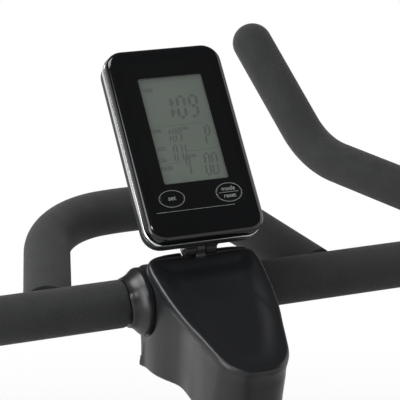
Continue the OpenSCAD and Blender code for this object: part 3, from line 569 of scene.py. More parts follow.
def finished(
    name: str, mesh: bpy.types.Mesh, finish: Finish, body: str, *nodes: str
) -> bpy.types.Object:
    """Put a finished mesh in the scene as a piece of the bike.

    Args:
        name: Name of the piece.
        mesh: Its mesh, in metres in the row frame.
        finish: Its finish.
        body: Body that it rides on.
        nodes: CAD nodes that it stands for.

    Returns:
        The piece.
    """
    mesh.name = name
    mesh.materials.clear()
    mesh.materials.append(finish.material())
    for face in mesh.polygons:
        face.material_index = 0
    piece = bpy.data.objects.new(name, mesh)
    bpy.context.scene.collection.objects.link(piece)
    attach(piece, body)
    if nodes:
        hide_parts(*nodes)
    LOG.info("%s: %d faces, %s, rides on %s", name, len(mesh.polygons), finish.name, body)
    return piece


def dressed(finish: Finish, *nodes: str) -> None:
    """Give CAD nodes a finish as they are.

    Args:
        finish: The finish.
        nodes: Names of the nodes.
    """
    for node in nodes:
        solid = frame["nodes"][node]
        if not solid.material_slots:
            solid.data.materials.append(finish.material())
        for holder in solid.material_slots:
            holder.material = finish.material()
        LOG.info("%s: kept from the model, %s", node, finish.name)


def softened(
    node: str, finish: Finish, width: float = 0.8, segments: int = 2, name: str | None = None
) -> bpy.types.Object:
    """Replace a CAD node by a copy whose sharp edges are broken as a maker would.

    Args:
        node: CAD node.
        finish: Finish of the copy.
        width: Width of the broken edges in millimetres.
        segments: Steps across each broken edge.
        name: Name of the piece, made from the node's if None.

    Returns:
        The piece.
    """
    solid = frame["nodes"][node]
    work = bmesh.new()
    work.from_mesh(solid.data)
    bmesh.ops.remove_doubles(work, verts=work.verts, dist=2e-6)
    bmesh.ops.dissolve_limit(work, angle_limit=math.radians(0.6), verts=work.verts, edges=work.edges)
    mesh = bpy.data.meshes.new(node)
    work.to_mesh(mesh)
    work.free()
    mesh.shade_smooth()
    piece = stand_in(mesh)
    bevel = piece.modifiers.new("Edges", "BEVEL")
    bevel.width = width * MM
    bevel.segments = segments
    bevel.limit_method = "ANGLE"
    bevel.angle_limit = math.radians(34)
    bevel.use_clamp_overlap = True
    bevel.harden_normals = True
    result = baked(piece)
    body = str(solid["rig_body"])
    return finished(name or f"soft_{node}", result, finish, body, node)


# ------------------------------------------------------------------ geometry nodes


def set_inputs(modifier: bpy.types.Modifier, values: dict[str, object]) -> None:
    """Set a Geometry Nodes modifier's inputs by their sockets' identifiers.

    Args:
        modifier: The modifier, its tree already chosen.
        values: Socket name and value.
    """
    for item in modifier.node_group.interface.items_tree:
        if item.item_type == "SOCKET" and item.in_out == "INPUT" and item.name in values:
            modifier[item.identifier] = values[item.name]


def new_tree(name: str, sockets: Sequence[tuple[str, str]]) -> tuple[bpy.types.NodeTree, bpy.types.Node]:
    """Start a Geometry Nodes tree.

    Args:
        name: Name of the tree.
        sockets: Name and type of each input after the geometry.

    Returns:
        The tree and its group input node.
    """
    tree = bpy.data.node_groups.new(name, "GeometryNodeTree")
    tree.interface.new_socket("Geometry", in_out="INPUT", socket_type="NodeSocketGeometry")
    tree.interface.new_socket("Geometry", in_out="OUTPUT", socket_type="NodeSocketGeometry")
    for label, kind in sockets:
        tree.interface.new_socket(label, in_out="INPUT", socket_type=kind)
    return tree, add_node(tree, "NodeGroupInput")


def end_tree(tree: bpy.types.NodeTree, start: bpy.types.Node, geometry: bpy.types.NodeSocket) -> None:
    """Close a tree with Realize Instances, smooth shading and Set Material.

    Args:
        tree: The tree.
        start: Its group input node, which has a Finish socket.
        geometry: The geometry to hand out.
    """
    real = add_node(tree, "GeometryNodeRealizeInstances", {"Geometry": geometry}).outputs[0]
    smooth = add_node(tree, "GeometryNodeSetShadeSmooth", {"Geometry": real}).outputs[0]
    coated = add_node(
        tree, "GeometryNodeSetMaterial", {"Geometry": smooth, "Material": start.outputs["Finish"]}
    ).outputs[0]
    add_node(tree, "NodeGroupOutput", {"Geometry": coated})


def tube_tree() -> bpy.types.NodeTree:
    """Tree that makes a round tube along a path, its radius scaled by the width attribute."""
    made = bpy.data.node_groups.get("Tube_on_path")
    if made:
        return made
    tree, start = new_tree(
        "Tube_on_path",
        [("Radius", "NodeSocketFloat"), ("Sides", "NodeSocketInt"), ("Finish", "NodeSocketMaterial")],
    )
    curve = add_node(tree, "GeometryNodeMeshToCurve", {"Mesh": start.outputs["Geometry"]}).outputs[0]
    width = add_node(
        tree, "GeometryNodeInputNamedAttribute", {"Name": "width"}, data_type="FLOAT"
    ).outputs["Attribute"]
    ring = add_node(
        tree,
        "GeometryNodeCurvePrimitiveCircle",
        {"Resolution": start.outputs["Sides"], "Radius": start.outputs["Radius"]},
        mode="RADIUS",
    ).outputs["Curve"]
    tube = add_node(
        tree, "GeometryNodeCurveToMesh", {
            "Curve": curve, "Profile Curve": ring, "Scale": width, "Fill Caps": True
        }
    ).outputs[0]
    end_tree(tree, start, tube)
    return tree


def bead_tree() -> bpy.types.NodeTree:
    """Tree that sets small rounded beads along a path, such as stitches, studs or weld ripples."""
    made = bpy.data.node_groups.get("Beads_on_path")
    if made:
        return made
    tree, start = new_tree(
        "Beads_on_path",
        [
            ("Spacing", "NodeSocketFloat"),
            ("Size", "NodeSocketVector"),
            ("Lean", "NodeSocketFloat"),
            ("Uneven", "NodeSocketFloat"),
            ("Seed", "NodeSocketInt"),
            ("Finish", "NodeSocketMaterial"),
        ],
    )
    curve = add_node(tree, "GeometryNodeMeshToCurve", {"Mesh": start.outputs["Geometry"]}).outputs[0]
    spaced = add_node(
        tree, "GeometryNodeResampleCurve", {"Curve": curve, "Length": start.outputs["Spacing"]}, mode="LENGTH"
    ).outputs[0]
    bead = add_node(
        tree, "GeometryNodeMeshUVSphere", {"Segments": 8, "Rings": 5, "Radius": 0.5}
    ).outputs["Mesh"]
    turn = add_node(
        tree,
        "FunctionNodeAlignRotationToVector",
        {"Vector": add_node(tree, "GeometryNodeInputTangent").outputs[0]},
        axis="X",
    ).outputs[0]
    lean = add_node(
        tree, "FunctionNodeRotateRotation",
        {
            "Rotation": turn,
            "Rotate By": add_node(
                tree, "FunctionNodeAxisAngleToRotation", {"Axis": (0, 0, 1), "Angle": start.outputs["Lean"]}
            ).outputs[0],
        },
        rotation_space="LOCAL",
    ).outputs[0]
    uneven = add_node(
        tree,
        "FunctionNodeRandomValue",
        {
            "Min": add_node(
                tree, "ShaderNodeMath", {0: 1.0, 1: start.outputs["Uneven"]}, operation="SUBTRACT"
            ).outputs[0],
            "Max": 1.0,
            "Seed": start.outputs["Seed"],
        },
        data_type="FLOAT",
    )
    factor = next(s for s in uneven.outputs if s.enabled)
    size = add_node(
        tree, "ShaderNodeVectorMath", {0: start.outputs["Size"], "Scale": factor}, operation="SCALE"
    ).outputs[0]
    beads = add_node(
        tree,
        "GeometryNodeInstanceOnPoints",
        {"Points": spaced, "Instance": bead, "Rotation": lean, "Scale": size},
    ).outputs[0]
    end_tree(tree, start, beads)
    return tree


def on_path(
    name: str,
    points: Sequence[Vector],
    tree: bpy.types.NodeTree,
    values: dict[str, object],
    widths: Sequence[float] | None = None,
    closed: bool = False,
) -> bpy.types.Mesh:
    """Run a path tree and return its plain mesh.

    Args:
        name: Name of the mesh.
        points: Path in metres in the row frame.
        tree: Tree to run.
        values: Its inputs by name.
        widths: Relative width at each point.
        closed: Whether the path closes on itself.

    Returns:
        The mesh.
    """
    mesh = bpy.data.meshes.new(name)
    edges = [(i, i + 1) for i in range(len(points) - 1)] + ([(len(points) - 1, 0)] if closed else [])
    mesh.from_pydata([tuple(p) for p in points], edges, [])
    width = mesh.attributes.new("width", "FLOAT", "POINT")
    width.data.foreach_set("value", list(widths or [1.0] * len(points)))
    piece = stand_in(mesh)
    modifier = piece.modifiers.new("Path", "NODES")
    modifier.node_group = tree
    set_inputs(modifier, values)
    result = baked(piece)
    for name_of in ("width", "radius", "normal"):
        if name_of in result.attributes and not result.attributes[name_of].is_required:
            result.attributes.remove(result.attributes[name_of])
    return result


def tube(
    name: str, points: Sequence[Vector], radius: float, finish: Finish, widths: Sequence[float] | None = None,
    sides: int = 48, closed: bool = False,
) -> bpy.types.Mesh:
    """Round tube along a path.

    Args:
        name: Name of the mesh.
        points: Path in metres.
        radius: Radius in millimetres.
        finish: Finish of the tube.
        widths: Relative radius at each point.
        sides: Steps round the tube.
        closed: Whether the path closes on itself.

    Returns:
        The mesh.
    """
    values = {"Radius": radius * MM, "Sides": sides, "Finish": finish.material()}
    mesh = on_path(name, points, tube_tree(), values, widths, closed)
    work = bmesh.new()
    work.from_mesh(mesh)
    bmesh.ops.recalc_face_normals(work, faces=work.faces)
    work.to_mesh(mesh)
    work.free()
    shade(mesh, 50)
    return mesh


def beads(
    name: str, points: Sequence[Vector], spacing: float, size: Point, finish: Finish, lean: float = 0.0,
    uneven: float = 0.0, seed: int = 3, closed: bool = False,
) -> bpy.types.Mesh:
    """Beads along a path.

    Args:
        name: Name of the mesh.
        points: Path in metres.
        spacing: Distance from bead to bead in millimetres.
        size: Length, width and height of a bead in millimetres.
        finish: Finish of the beads.
        lean: Turn of each bead from the path, in degrees.
        uneven: Largest share that a bead is smaller by.
        seed: Seed of the unevenness.
        closed: Whether the path closes on itself.

    Returns:
        The mesh.
    """
    values = {
        "Spacing": spacing * MM,
        "Size": tuple(s * MM for s in size),
        "Lean": math.radians(lean),
        "Uneven": uneven,
        "Seed": seed,
        "Finish": finish.material(),
    }
    return on_path(name, points, bead_tree(), values, None, closed)


# ------------------------------------------------------------------ studio


@dataclass
class Studio:
    """Pale floor, soft lights and the camera. Places are metres from the middle of the crossbar."""

    head: Vector
    eye: Vector = field(default_factory=lambda: Vector((-1.2185, 0.5143, 0.4621)))
    turn_right: float = 23.22
    tilt_down: float = 16.45
    lens: float = 172.5
    floor_radius: float = 4.0

    def camera(self) -> None:
        """Aim the camera at the console and the bars."""
        data = bpy.data.cameras.new("Camera")
        data.lens = self.lens
        data.sensor_width = 36.0
        data.clip_end = 60.0
        eye = bpy.data.objects.new("Camera", data)
        yaw, tilt = math.radians(self.turn_right), math.radians(self.tilt_down)
        ahead = Vector((math.cos(tilt) * math.cos(yaw), -math.cos(tilt) * math.sin(yaw), -math.sin(tilt)))
        eye.matrix_world = (
            Matrix.Translation(self.head + self.eye) @ ahead.to_track_quat("-Z", "Y").to_matrix().to_4x4()
        )
        bpy.context.scene.collection.objects.link(eye)
        bpy.context.scene.camera = eye

    def softbox(self, name: str, offset: Point, size: tuple[float, float], power: float) -> None:
        """Hang a soft rectangular light that faces the bars.

        Args:
            name: Name of the light.
            offset: Place from the middle of the crossbar, in metres.
            size: Width and height in metres.
            power: Power in watts.
        """
        data = bpy.data.lights.new(name, "AREA")
        data.shape = "RECTANGLE"
        data.size, data.size_y = size
        data.energy = power
        lamp = bpy.data.objects.new(name, data)
        place = self.head + Vector(offset)
        aim = self.head + Vector((0, 0, 0.03)) - place
        lamp.matrix_world = Matrix.Translation(place) @ aim.to_track_quat("-Z", "Y").to_matrix().to_4x4()
        bpy.context.scene.collection.objects.link(lamp)

    def room(self) -> None:
        """Light the room: white walls near the horizon and a darker ceiling."""
        world = bpy.data.worlds.new("Room")
        world.use_nodes = True
        bpy.context.scene.world = world
        tree = world.node_tree
        tree.nodes.clear()
        height = add_node(
            tree, "ShaderNodeSeparateXYZ", {0: add_node(tree, "ShaderNodeTexCoord").outputs["Generated"]}
        ).outputs["Z"]
        fade = add_node(
            tree,
            "ShaderNodeMapRange",
            {"Value": height, "From Min": 0.05, "From Max": 0.32, "To Min": 0.95, "To Max": 0.1},
            interpolation_type="SMOOTHSTEP",
        ).outputs["Result"]
        level = add_node(
            tree,
            "ShaderNodeMix",
            {
                "Factor": add_node(tree, "ShaderNodeLightPath").outputs["Is Camera Ray"],
                2: fade,
                3: 1.0,
            },
            data_type="FLOAT",
        ).outputs[0]
        glow = add_node(tree, "ShaderNodeBackground", {"Color": (1, 1, 1, 1), "Strength": level})
        add_node(tree, "ShaderNodeOutputWorld", {"Surface": glow.outputs[0]})

    def floor(self) -> None:
        """Lay a round pale floor that fades into the white room at its edge."""
        material = bpy.data.materials.new("Pale_studio_floor")
        material.use_nodes = True
        tree = material.node_tree
        tree.nodes.clear()
        place = add_node(tree, "ShaderNodeTexCoord").outputs["Object"]
        reach = add_node(tree, "ShaderNodeVectorMath", {0: place}, operation="LENGTH").outputs["Value"]
        solid = add_node(
            tree,
            "ShaderNodeMapRange",
            {
                "Value": reach, "From Min": 1.3, "From Max": self.floor_radius * 0.75, "To Min": 1.0,
                "To Max": 0.0
            },
            interpolation_type="SMOOTHSTEP",
        ).outputs["Result"]
        seen = add_node(tree, "ShaderNodeLightPath").outputs["Is Camera Ray"]
        shader = add_node(
            tree,
            "ShaderNodeBsdfPrincipled",
            {
                "Base Color": linear("f6f6f5"),
                "Roughness": 0.85,
                "Specular IOR Level": 0.2,
                "Alpha": solid,
                "Emission Color": linear("ffffff"),
                "Emission Strength": add_node(
                    tree, "ShaderNodeMath", {0: seen, 1: 0.45}, operation="MULTIPLY"
                ).outputs[0],
            },
        )
        add_node(tree, "ShaderNodeOutputMaterial", {"Surface": shader.outputs["BSDF"]})
        r = self.floor_radius
        points = [
            (r * math.cos(2 * math.pi * i / 64), r * math.sin(2 * math.pi * i / 64), 0.0) for i in range(64)
        ]
        mesh = bpy.data.meshes.new("Studio_floor")
        mesh.from_pydata(points, [], [list(range(64))])
        mesh.materials.append(material)
        slab = bpy.data.objects.new("Studio_floor", mesh)
        bpy.context.scene.collection.objects.link(slab)

    def build(self) -> None:
        """Set up the whole studio."""
        self.camera()
        self.room()
        self.floor()
        self.softbox("Softbox_over", (0.4, 0.95, 1.6), (1.2, 1.0), 26)
        self.softbox("Softbox_left", (-0.5, 1.7, 0.5), (0.9, 1.6), 22)
        self.softbox("Softbox_rear", (-1.3, 1.0, 1.5), (0.35, 0.35), 10)
        self.softbox("Softbox_right", (-0.2, -1.9, 0.9), (1.2, 1.4), 7)
        bpy.context.scene.view_settings.view_transform = "Standard"
        LOG.info("studio: camera, white room, floor and four softboxes")


# ------------------------------------------------------------------ handlebar


@dataclass(frozen=True)
class Heading:
    """A place on a bent tube, with the directions ahead, left and up."""

    place: Vector
    ahead: Vector
    left: Vector
    up: Vector

    @staticmethod
    def level(place: Point, angle: float, rise: float) -> "Heading":
        """Start a tube in a plane that rises to the front.

        Args:
            place: Start of the tube.
            angle: Direction in the plane, in degrees from straight ahead.
            rise: Rise of the plane in degrees.

        Returns:
            The first heading.
        """
        a, e = math.radians(angle), math.radians(rise)
        return Heading(
            Vector(place),
            Vector((math.cos(a) * math.cos(e), math.sin(a), math.cos(a) * math.sin(e))),
            Vector((-math.sin(a) * math.cos(e), math.cos(a), -math.sin(a) * math.sin(e))),
            Vector((-math.sin(e), 0, math.cos(e))),
        )

    def go(self, length: float) -> "Heading":
        """Move straight on."""
        return Heading(self.place + self.ahead * length, self.ahead, self.left, self.up)

    def turn_left(self, radius: float, angle: float) -> "Heading":
        """Follow a bend to the left, or to the right where both values are negative."""
        s, c = math.sin(math.radians(angle)), math.cos(math.radians(angle))
        return Heading(
            self.place + radius * (self.ahead * s + self.left * (1 - c)),
            self.ahead * c + self.left * s,
            self.left * c - self.ahead * s,
            self.up,
        )

    def turn_up(self, radius: float, angle: float) -> "Heading":
        """Follow a bend upwards."""
        s, c = math.sin(math.radians(angle)), math.cos(math.radians(angle))
        return Heading(
            self.place + radius * (self.ahead * s + self.up * (1 - c)),
            self.ahead * c + self.up * s,
            self.left,
            self.up * c - self.ahead * s,
        )


@dataclass
class Handlebar:
    """Foam-covered bars: a crossbar with a horn at each side and a loop in the middle."""

    place: Matrix
    foam_radius: float = 17.5
    collar_out: float = 52.0
    bar_half: float = 183.0
    bar_bend: float = 83.0
    rise: float = 6.5
    horn_in: float = 20.0
    horn_low: float = 101.0
    horn_bend: float = 70.0
    horn_up: float = 43.0
    horn_tip: float = 88.0
    loop_half: float = 109.0
    loop_rise: float = 13.6
    loop_in: float = 18.3
    loop_leg: float = 84.0
    loop_bend: float = 69.5
    loop_bow: float = 5.5
    cover_half: float = 36.0

    def horn_path(self) -> tuple[list[Vector], list[float]]:
        """Path of the foam on the rider's right, with its relative widths."""
        start = Heading.level((0, 0, 0), -90, self.rise)
        bend = start.go(self.bar_half)
        low = bend.turn_left(self.bar_bend, 90 + self.horn_in).go(self.horn_low)
        end = low.turn_up(self.horn_bend, self.horn_up)
        tip = end.go(self.horn_tip)
        path = [start.go(self.collar_out + d) for d in (0.0, 0.4, 1.2, 2.4)]
        widths = [0.9, 0.95, 0.985, 1.0]
        path += [start.go(self.collar_out + d) for d in (30, 60, 90)]
        path += [bend.turn_left(self.bar_bend, (90 + self.horn_in) * i / 40) for i in range(41)]
        path += [low.turn_up(self.horn_bend, self.horn_up * i / 20) for i in range(21)]
        path += [end.go(self.horn_tip * i / 4) for i in (1, 2, 3)]
        widths += [1.0] * (len(path) - len(widths))
        for a in range(0, 90, 6):
            path.append(tip.go(self.foam_radius * math.sin(math.radians(a))))
            widths.append(math.cos(math.radians(a)))
        path.append(tip.go(self.foam_radius))
        widths.append(0.02)
        return [self.place @ h.place for h in path], widths

    def loop_path(self) -> list[Vector]:
        """Path of the foam round the middle loop, from the left leg to the right."""
        left = Heading.level((0, self.loop_half, 0), -self.loop_in, self.loop_rise)
        turn = 90 - self.loop_in - self.loop_bow
        near = left.go(self.loop_leg)
        front = near.turn_left(-self.loop_bend, -turn)
        half = abs(front.place.y)
        wide = half / math.sin(math.radians(self.loop_bow))
        right = front.turn_left(-wide, -2 * self.loop_bow)
        end = right.turn_left(-self.loop_bend, -turn)
        path = [left.go(d) for d in (10.0, 30.0, 56.0)]
        path += [near.turn_left(-self.loop_bend, -turn * i / 24) for i in range(25)]
        path += [front.turn_left(-wide, -2 * self.loop_bow * i / 10) for i in range(1, 11)]
        path += [right.turn_left(-self.loop_bend, -turn * i / 24) for i in range(1, 25)]
        path += [end.go(self.loop_leg - d) for d in (56.0, 30.0, 10.0)]
        return [self.place @ h.place for h in path]

    def collar(self, side: int) -> bpy.types.Mesh:
        """Bell-shaped sleeve on one side, its flare long above and short below.

        Args:
            side: 1 for the rider's left, -1 for the right.

        Returns:
            The sleeve.
        """
        r = self.foam_radius
        profile = [(13.2, 0.2), (23.6, 0.2), (24.3, 0.7), (24.5, 1.5), (24.5, 4.0), (24.2, 4.9), (23.4, 5.9),
                   (22.0, 7.3), (20.6, 9.0), (19.4, 11.0), (18.6, 13.0), (r + 0.7, 15.0),
                   (r + 0.2, 15.6), (13.2, 15.6)]
        points, faces = turned(profile, 96)
        flared = []
        for x, y, z in points:
            above = (y + 0.4 * x) / 26.4
            longer = 1 + 0.22 * above if z > 4.0 else 1.0
            reach = 4.0 + (z - 4.0) * longer if z > 4.0 else z
            flared.append((x, side * (self.cover_half + min(reach, 15.9)), y))
        return new_mesh("collar", flared, faces, self.place, 40)

    def build(self) -> None:
        """Build the foam and the sleeves."""
        path, widths = self.horn_path()
        mirror = self.place @ Matrix.Diagonal((1, -1, 1, 1)) @ self.place.inverted()
        for name, node, points in (
            ("Foam_right", "grip_right", path),
            ("Foam_left", "grip_left", [mirror @ p for p in path]),
        ):
            mesh = tube(name, points, self.foam_radius, FOAM, widths, 64)
            finished(name, mesh, FOAM, "handlebar", node)
        mesh = tube("Foam_loop", self.loop_path(), self.foam_radius - 0.05, FOAM, None, 64)
        finished("Foam_loop", mesh, FOAM, "handlebar", "loop_grip")
        finished(
            "Bar_collars", joined("collars", [self.collar(1), self.collar(-1)]), SATIN, "handlebar",
            "bar_collars"
        )
        dressed(POLISHED, "handlebar_tube", "handlebar_post")


# ------------------------------------------------------------------ stem cover

Field = np.ndarray


def softened_union(a: Field, b: Field, k: Field | float) -> Field:
    """Union of two distance fields with a fillet of about k millimetres."""
    h = np.clip(0.5 + 0.5 * (b - a) / k, 0, 1)
    return b + (a - b) * h - k * h * (1 - h)


def softened_cut(a: Field, b: Field, k: Field | float) -> Field:
    """Intersection of two distance fields with an edge rounded by about k millimetres."""
    return -softened_union(-a, -b, k)


def extruded(outline: Field, height: Field, r: float) -> Field:
    """Distance to an outline extruded between faces, its edges rounded by r."""
    u, v = outline + r, height + r
    return np.minimum(np.maximum(u, v), 0) + np.hypot(np.maximum(u, 0), np.maximum(v, 0)) - r


def outline_distance(u: Field, v: Field, outline: Sequence[tuple[float, float]]) -> Field:
    """Signed distance to a closed outline, negative inside.

    Args:
        u: First coordinate of the points.
        v: Second coordinate of the points.
        outline: Corners of the outline.

    Returns:
        The distances.
    """
    best = np.full(np.broadcast(u, v).shape, 1e9)
    inside = np.zeros(best.shape, bool)
    for (x0, y0), (x1, y1) in zip(outline, [*outline[1:], outline[0]]):
        ex, ey = x1 - x0, y1 - y0
        t = np.clip(((u - x0) * ex + (v - y0) * ey) / (ex * ex + ey * ey), 0, 1)
        best = np.minimum(best, (u - x0 - ex * t) ** 2 + (v - y0 - ey * t) ** 2)
        if y0 != y1:
            inside ^= ((y0 > v) != (y1 > v)) & (u < x0 + (v - y0) * ex / ey)
    return np.where(inside, -1, 1) * np.sqrt(best)


def flowing(points: Sequence[tuple[float, float]], steps: int = 8) -> list[tuple[float, float]]:
    """Smooth closed curve through both sides of a symmetric outline.

    Args:
        points: Points of the half with positive second coordinate, front to rear.
        steps: Points between each pair.

    Returns:
        The whole closed curve.
    """
    whole = [*points, *[(u, -v) for u, v in reversed(points) if v > 1e-6]]
    n = len(whole)
    curve = []
    for i in range(n):
        p0, p1, p2, p3 = (np.array(whole[(i + k) % n]) for k in (-1, 0, 1, 2))
        for s in range(steps):
            t = s / steps
            q = 0.5 * (
                2 * p1 + (p2 - p0) * t + (2 * p0 - 5 * p1 + 4 * p2 - p3) * t**2
                + (3 * p1 - p0 - 3 * p2 + p3) * t**3
            )
            curve.append((float(q[0]), float(q[1])))
    return curve


@dataclass
class StemCover:
    """Two-part moulded cover over the stem, with a shield-shaped top above a waisted neck."""

    place: Matrix
    cell: float = 1.0
    slope: float = 24.7
    top_at: tuple[float, float] = (-18.0, 38.2)
    lean: float = 14.5
    neck_at: tuple[float, float] = (-88.0, -30.0)
    neck_deep: float = 56.5
    neck_wide: float = 40.5
    neck_long: float = 135.0
    band: tuple[float, float] = (11.0, 5.0)
    dish: float = 3.2
    cover_half: float = 36.0
    hinge_at: tuple[float, float] = (-17.04, 41.64)
    shield: Sequence[tuple[float, float]] = (
        (3, 14), (2, 30), (-1, 38), (-6, 41.6), (-14, 42.5), (-24, 42.1), (-42, 40.6), (-62, 37.4),
        (-80, 32.8),
        (-95, 27.6), (-107, 22.2), (-115, 16), (-120, 8),
    )
    skirt: Sequence[tuple[float, float]] = (
        (16, 36), (-6, 37.6), (-20, 37.2), (-31, 34.6), (-42, 30.6), (-54, 27.2), (-70, 25), (-92, 23.5),
        (-108, 18), (-116, 7),
    )

    def axes(self, low: Point, high: Point) -> tuple[Field, Field, Field]:
        """Coordinates of a block of cells, one axis each."""
        x, y, z = (np.arange(a, b + self.cell / 2, self.cell) for a, b in zip(low, high))
        return x[:, None, None], y[None, :, None], z[None, None, :]

    def on_slope(self, x: Field, z: Field) -> tuple[Field, Field]:
        """Distance along the sloping top, and height above it."""
        s, c = math.sin(math.radians(self.slope)), math.cos(math.radians(self.slope))
        dx, dz = x - self.top_at[0], z - self.top_at[1]
        return dx * c + dz * s, dz * c - dx * s

    def parting(self, x: Field, z: Field) -> Field:
        """Distance in front of the plane that parts the two halves."""
        a = math.radians(self.lean)
        return (x + 10.5) * math.cos(a) + z * math.sin(a)

    def shield_distance(self, u: Field, y: Field) -> Field:
        """Distance to the shield's outline, looked up in a fine table."""
        step, low = 0.5, -150.0
        line = np.arange(low, 70, step)
        table = outline_distance(line[:, None], line[None, :], flowing(self.shield))
        a = np.clip((u - low) / step, 0, len(line) - 2)
        b = np.clip((y - low) / step, 0, len(line) - 2)
        a, b = np.broadcast_arrays(a, b)
        i, j = a.astype(int), b.astype(int)
        s, t = a - i, b - j
        return (table[i, j] * (1 - s) + table[i + 1, j] * s) * (1 - t) + (
            table[i, j + 1] * (1 - s) + table[i + 1, j + 1] * s
        ) * t

    def crown(self, x: Field, y: Field, z: Field) -> tuple[Field, Field, Field, Field]:
        """Dished shield on top: its field, the floor of its dish, its thickness and the way along it."""
        u, w = self.on_slope(x, z)
        edge = self.shield_distance(u, y)
        thick = self.band[1] + (self.band[0] - self.band[1]) * np.clip((u + 120) / 120, 0, 1)
        well = np.clip((-edge - 3.5) / 15, 0, 1)
        dished = w + self.dish * well * well * (3 - 2 * well)
        return extruded(edge, np.maximum(dished, -w - thick), 3.0), dished, thick, u

    def rear_field(self, x: Field, y: Field, z: Field) -> Field:
        """Distance field of the half that faces the rider."""
        top, dished, thick, u = self.crown(x, y, z)
        w = self.on_slope(x, z)[1]
        plan = outline_distance(x[:, :, 0], y[:, :, 0], flowing(self.skirt))[:, :, None]
        cheeks = extruded(plan, np.maximum(-51 - z, w + thick / 2), 3.5)
        a = math.radians(self.lean)
        dx, dz = x - self.neck_at[0], z - self.neck_at[1]
        across = dx * math.cos(a) + dz * math.sin(a)
        along = dz * math.cos(a) - dx * math.sin(a)
        flare = 4.0 * np.clip((along + 60) / 70, 0, 1) ** 2
        q0 = np.abs(across) - (self.neck_deep / 2 + flare - 16)
        q1 = np.abs(y) - (self.neck_wide / 2 + flare * 0.6 - 16)
        round_box = np.minimum(np.maximum(q0, q1), 0) + np.hypot(np.maximum(q0, 0), np.maximum(q1, 0)) - 16
        neck = extruded(round_box, np.maximum(-self.neck_long - along, w + 3), 1.2)
        body = softened_union(cheeks, neck, 20.0)
        fillet = 3.0 + 8.0 * np.clip(-(u + 45) / 75, 0, 1)
        whole = softened_union(top, body, fillet)
        whole = softened_cut(whole, dished, 1.2)
        # Room for the sleeves, the post and the knuckles of the hinge
        sleeve = np.maximum(np.hypot(x, z) - 26.2, self.cover_half + 0.05 - np.abs(y))
        whole = softened_cut(whole, -sleeve, 0.8)
        post = np.maximum(np.maximum(np.abs(across) - 25.5, np.abs(y) - 17.5), along + 40)
        whole = np.maximum(whole, -post)
        hx, hz = x - self.hinge_at[0], z - self.hinge_at[1]
        pin = np.hypot(hx, hz)
        knuckle = np.maximum(pin - 5.9, np.abs(y) - 3.7)
        web = np.maximum(np.maximum(np.abs(hx - 0.5) - 5.5, np.abs(hz + 6) - 9), np.abs(y) - 3.7)
        whole = softened_cut(whole, self.parting(x, z) + 0.12, 0.8)
        whole = np.minimum(whole, np.minimum(knuckle, web))
        slot = np.maximum(pin - 7.2, np.abs(np.abs(y) - 8.5) - 4.6)
        return np.maximum(whole, -slot)

    def front_field(self, x: Field, y: Field, z: Field) -> Field:
        """Distance field of the half on the far side of the bars."""
        shell = np.hypot(x, z) - 25.8
        q0, q1 = np.abs(x + 4) - 6.0, np.abs(z + 27) - 19.5
        skirt = np.minimum(np.maximum(q0, q1), 0) + np.hypot(np.maximum(q0, 0), np.maximum(q1, 0)) - 7.0
        outline = softened_union(shell, skirt, 12.0)
        whole = extruded(outline, np.abs(y) - self.cover_half, 4.0)
        sleeve = np.maximum(np.hypot(x, z) - 13.4, 0 * y)
        whole = np.maximum(whole, -sleeve)
        top, dished, _, _ = self.crown(x, y, z)
        whole = softened_cut(softened_union(whole, top, 4.0), dished, 1.2)
        pin = np.hypot(x - self.hinge_at[0], z - self.hinge_at[1])
        whole = np.maximum(whole, -np.maximum(pin - 7.2, np.abs(y) - 13.2))
        return softened_cut(whole, 0.12 - self.parting(x, z), 0.8)

    def skinned(
        self, name: str, field_of: Callable[[Field, Field, Field], Field], low: Point, high: Point
    ) -> bpy.types.Mesh:
        """Skin a distance field.

        Args:
            name: Name of the mesh.
            field_of: The field.
            low: Lowest corner of the block to look in.
            high: Highest corner.

        Returns:
            The skin, in metres.
        """
        values = np.clip(field_of(*self.axes(low, high)), -4 * self.cell, 4 * self.cell).astype(np.float32)
        grid = openvdb.FloatGrid(4 * self.cell)
        grid.copyFromArray(np.ascontiguousarray(values))
        points, quads = grid.convertToQuads(0.0)
        mesh = bpy.data.meshes.new(name)
        mesh.from_pydata((points * self.cell + np.array(low)).tolist(), [], quads.tolist())
        mesh.transform(self.place)
        piece = stand_in(mesh)
        rub = piece.modifiers.new("Rubbed", "SMOOTH")
        rub.factor, rub.iterations = 0.5, 2
        mesh = baked(piece)
        work = bmesh.new()
        work.from_mesh(mesh)
        bmesh.ops.recalc_face_normals(work, faces=work.faces)
        work.to_mesh(mesh)
        work.free()
        shade(mesh, 60)
        return mesh

    def build(self) -> None:
        """Build both halves."""
        rear = self.skinned("rear", self.rear_field, (-134, -48, -168), (8, 48, 54))
        finished("Stem_cover_rear", rear, SATIN, "handlebar", "stem_cover_rear")
        front = self.skinned("front", self.front_field, (-34, -46, -60), (34, 46, 56))
        finished("Stem_cover_front", front, SATIN, "handlebar", "stem_cover_front")


# ------------------------------------------------------------------ console


class Stroke(Enum):
    """Strokes of a seven-stroke digit, as from and to corners on a grid 1 wide and 2 high."""

    TOP = ((0, 2), (1, 2))
    HIGH_LEFT = ((0, 1), (0, 2))
    HIGH_RIGHT = ((1, 1), (1, 2))
    MIDDLE = ((0, 1), (1, 1))
    LOW_LEFT = ((0, 0), (0, 1))
    LOW_RIGHT = ((1, 0), (1, 1))
    BOTTOM = ((0, 0), (1, 0))


STROKES: dict[str, str] = {
    "0": "TOP HIGH_LEFT HIGH_RIGHT LOW_LEFT LOW_RIGHT BOTTOM",
    "1": "HIGH_RIGHT LOW_RIGHT",
    "4": "HIGH_LEFT HIGH_RIGHT MIDDLE LOW_RIGHT",
    "7": "TOP HIGH_RIGHT LOW_RIGHT",
    "9": "TOP HIGH_LEFT HIGH_RIGHT MIDDLE LOW_RIGHT BOTTOM",
    "P": "TOP HIGH_LEFT HIGH_RIGHT MIDDLE LOW_LEFT",
}


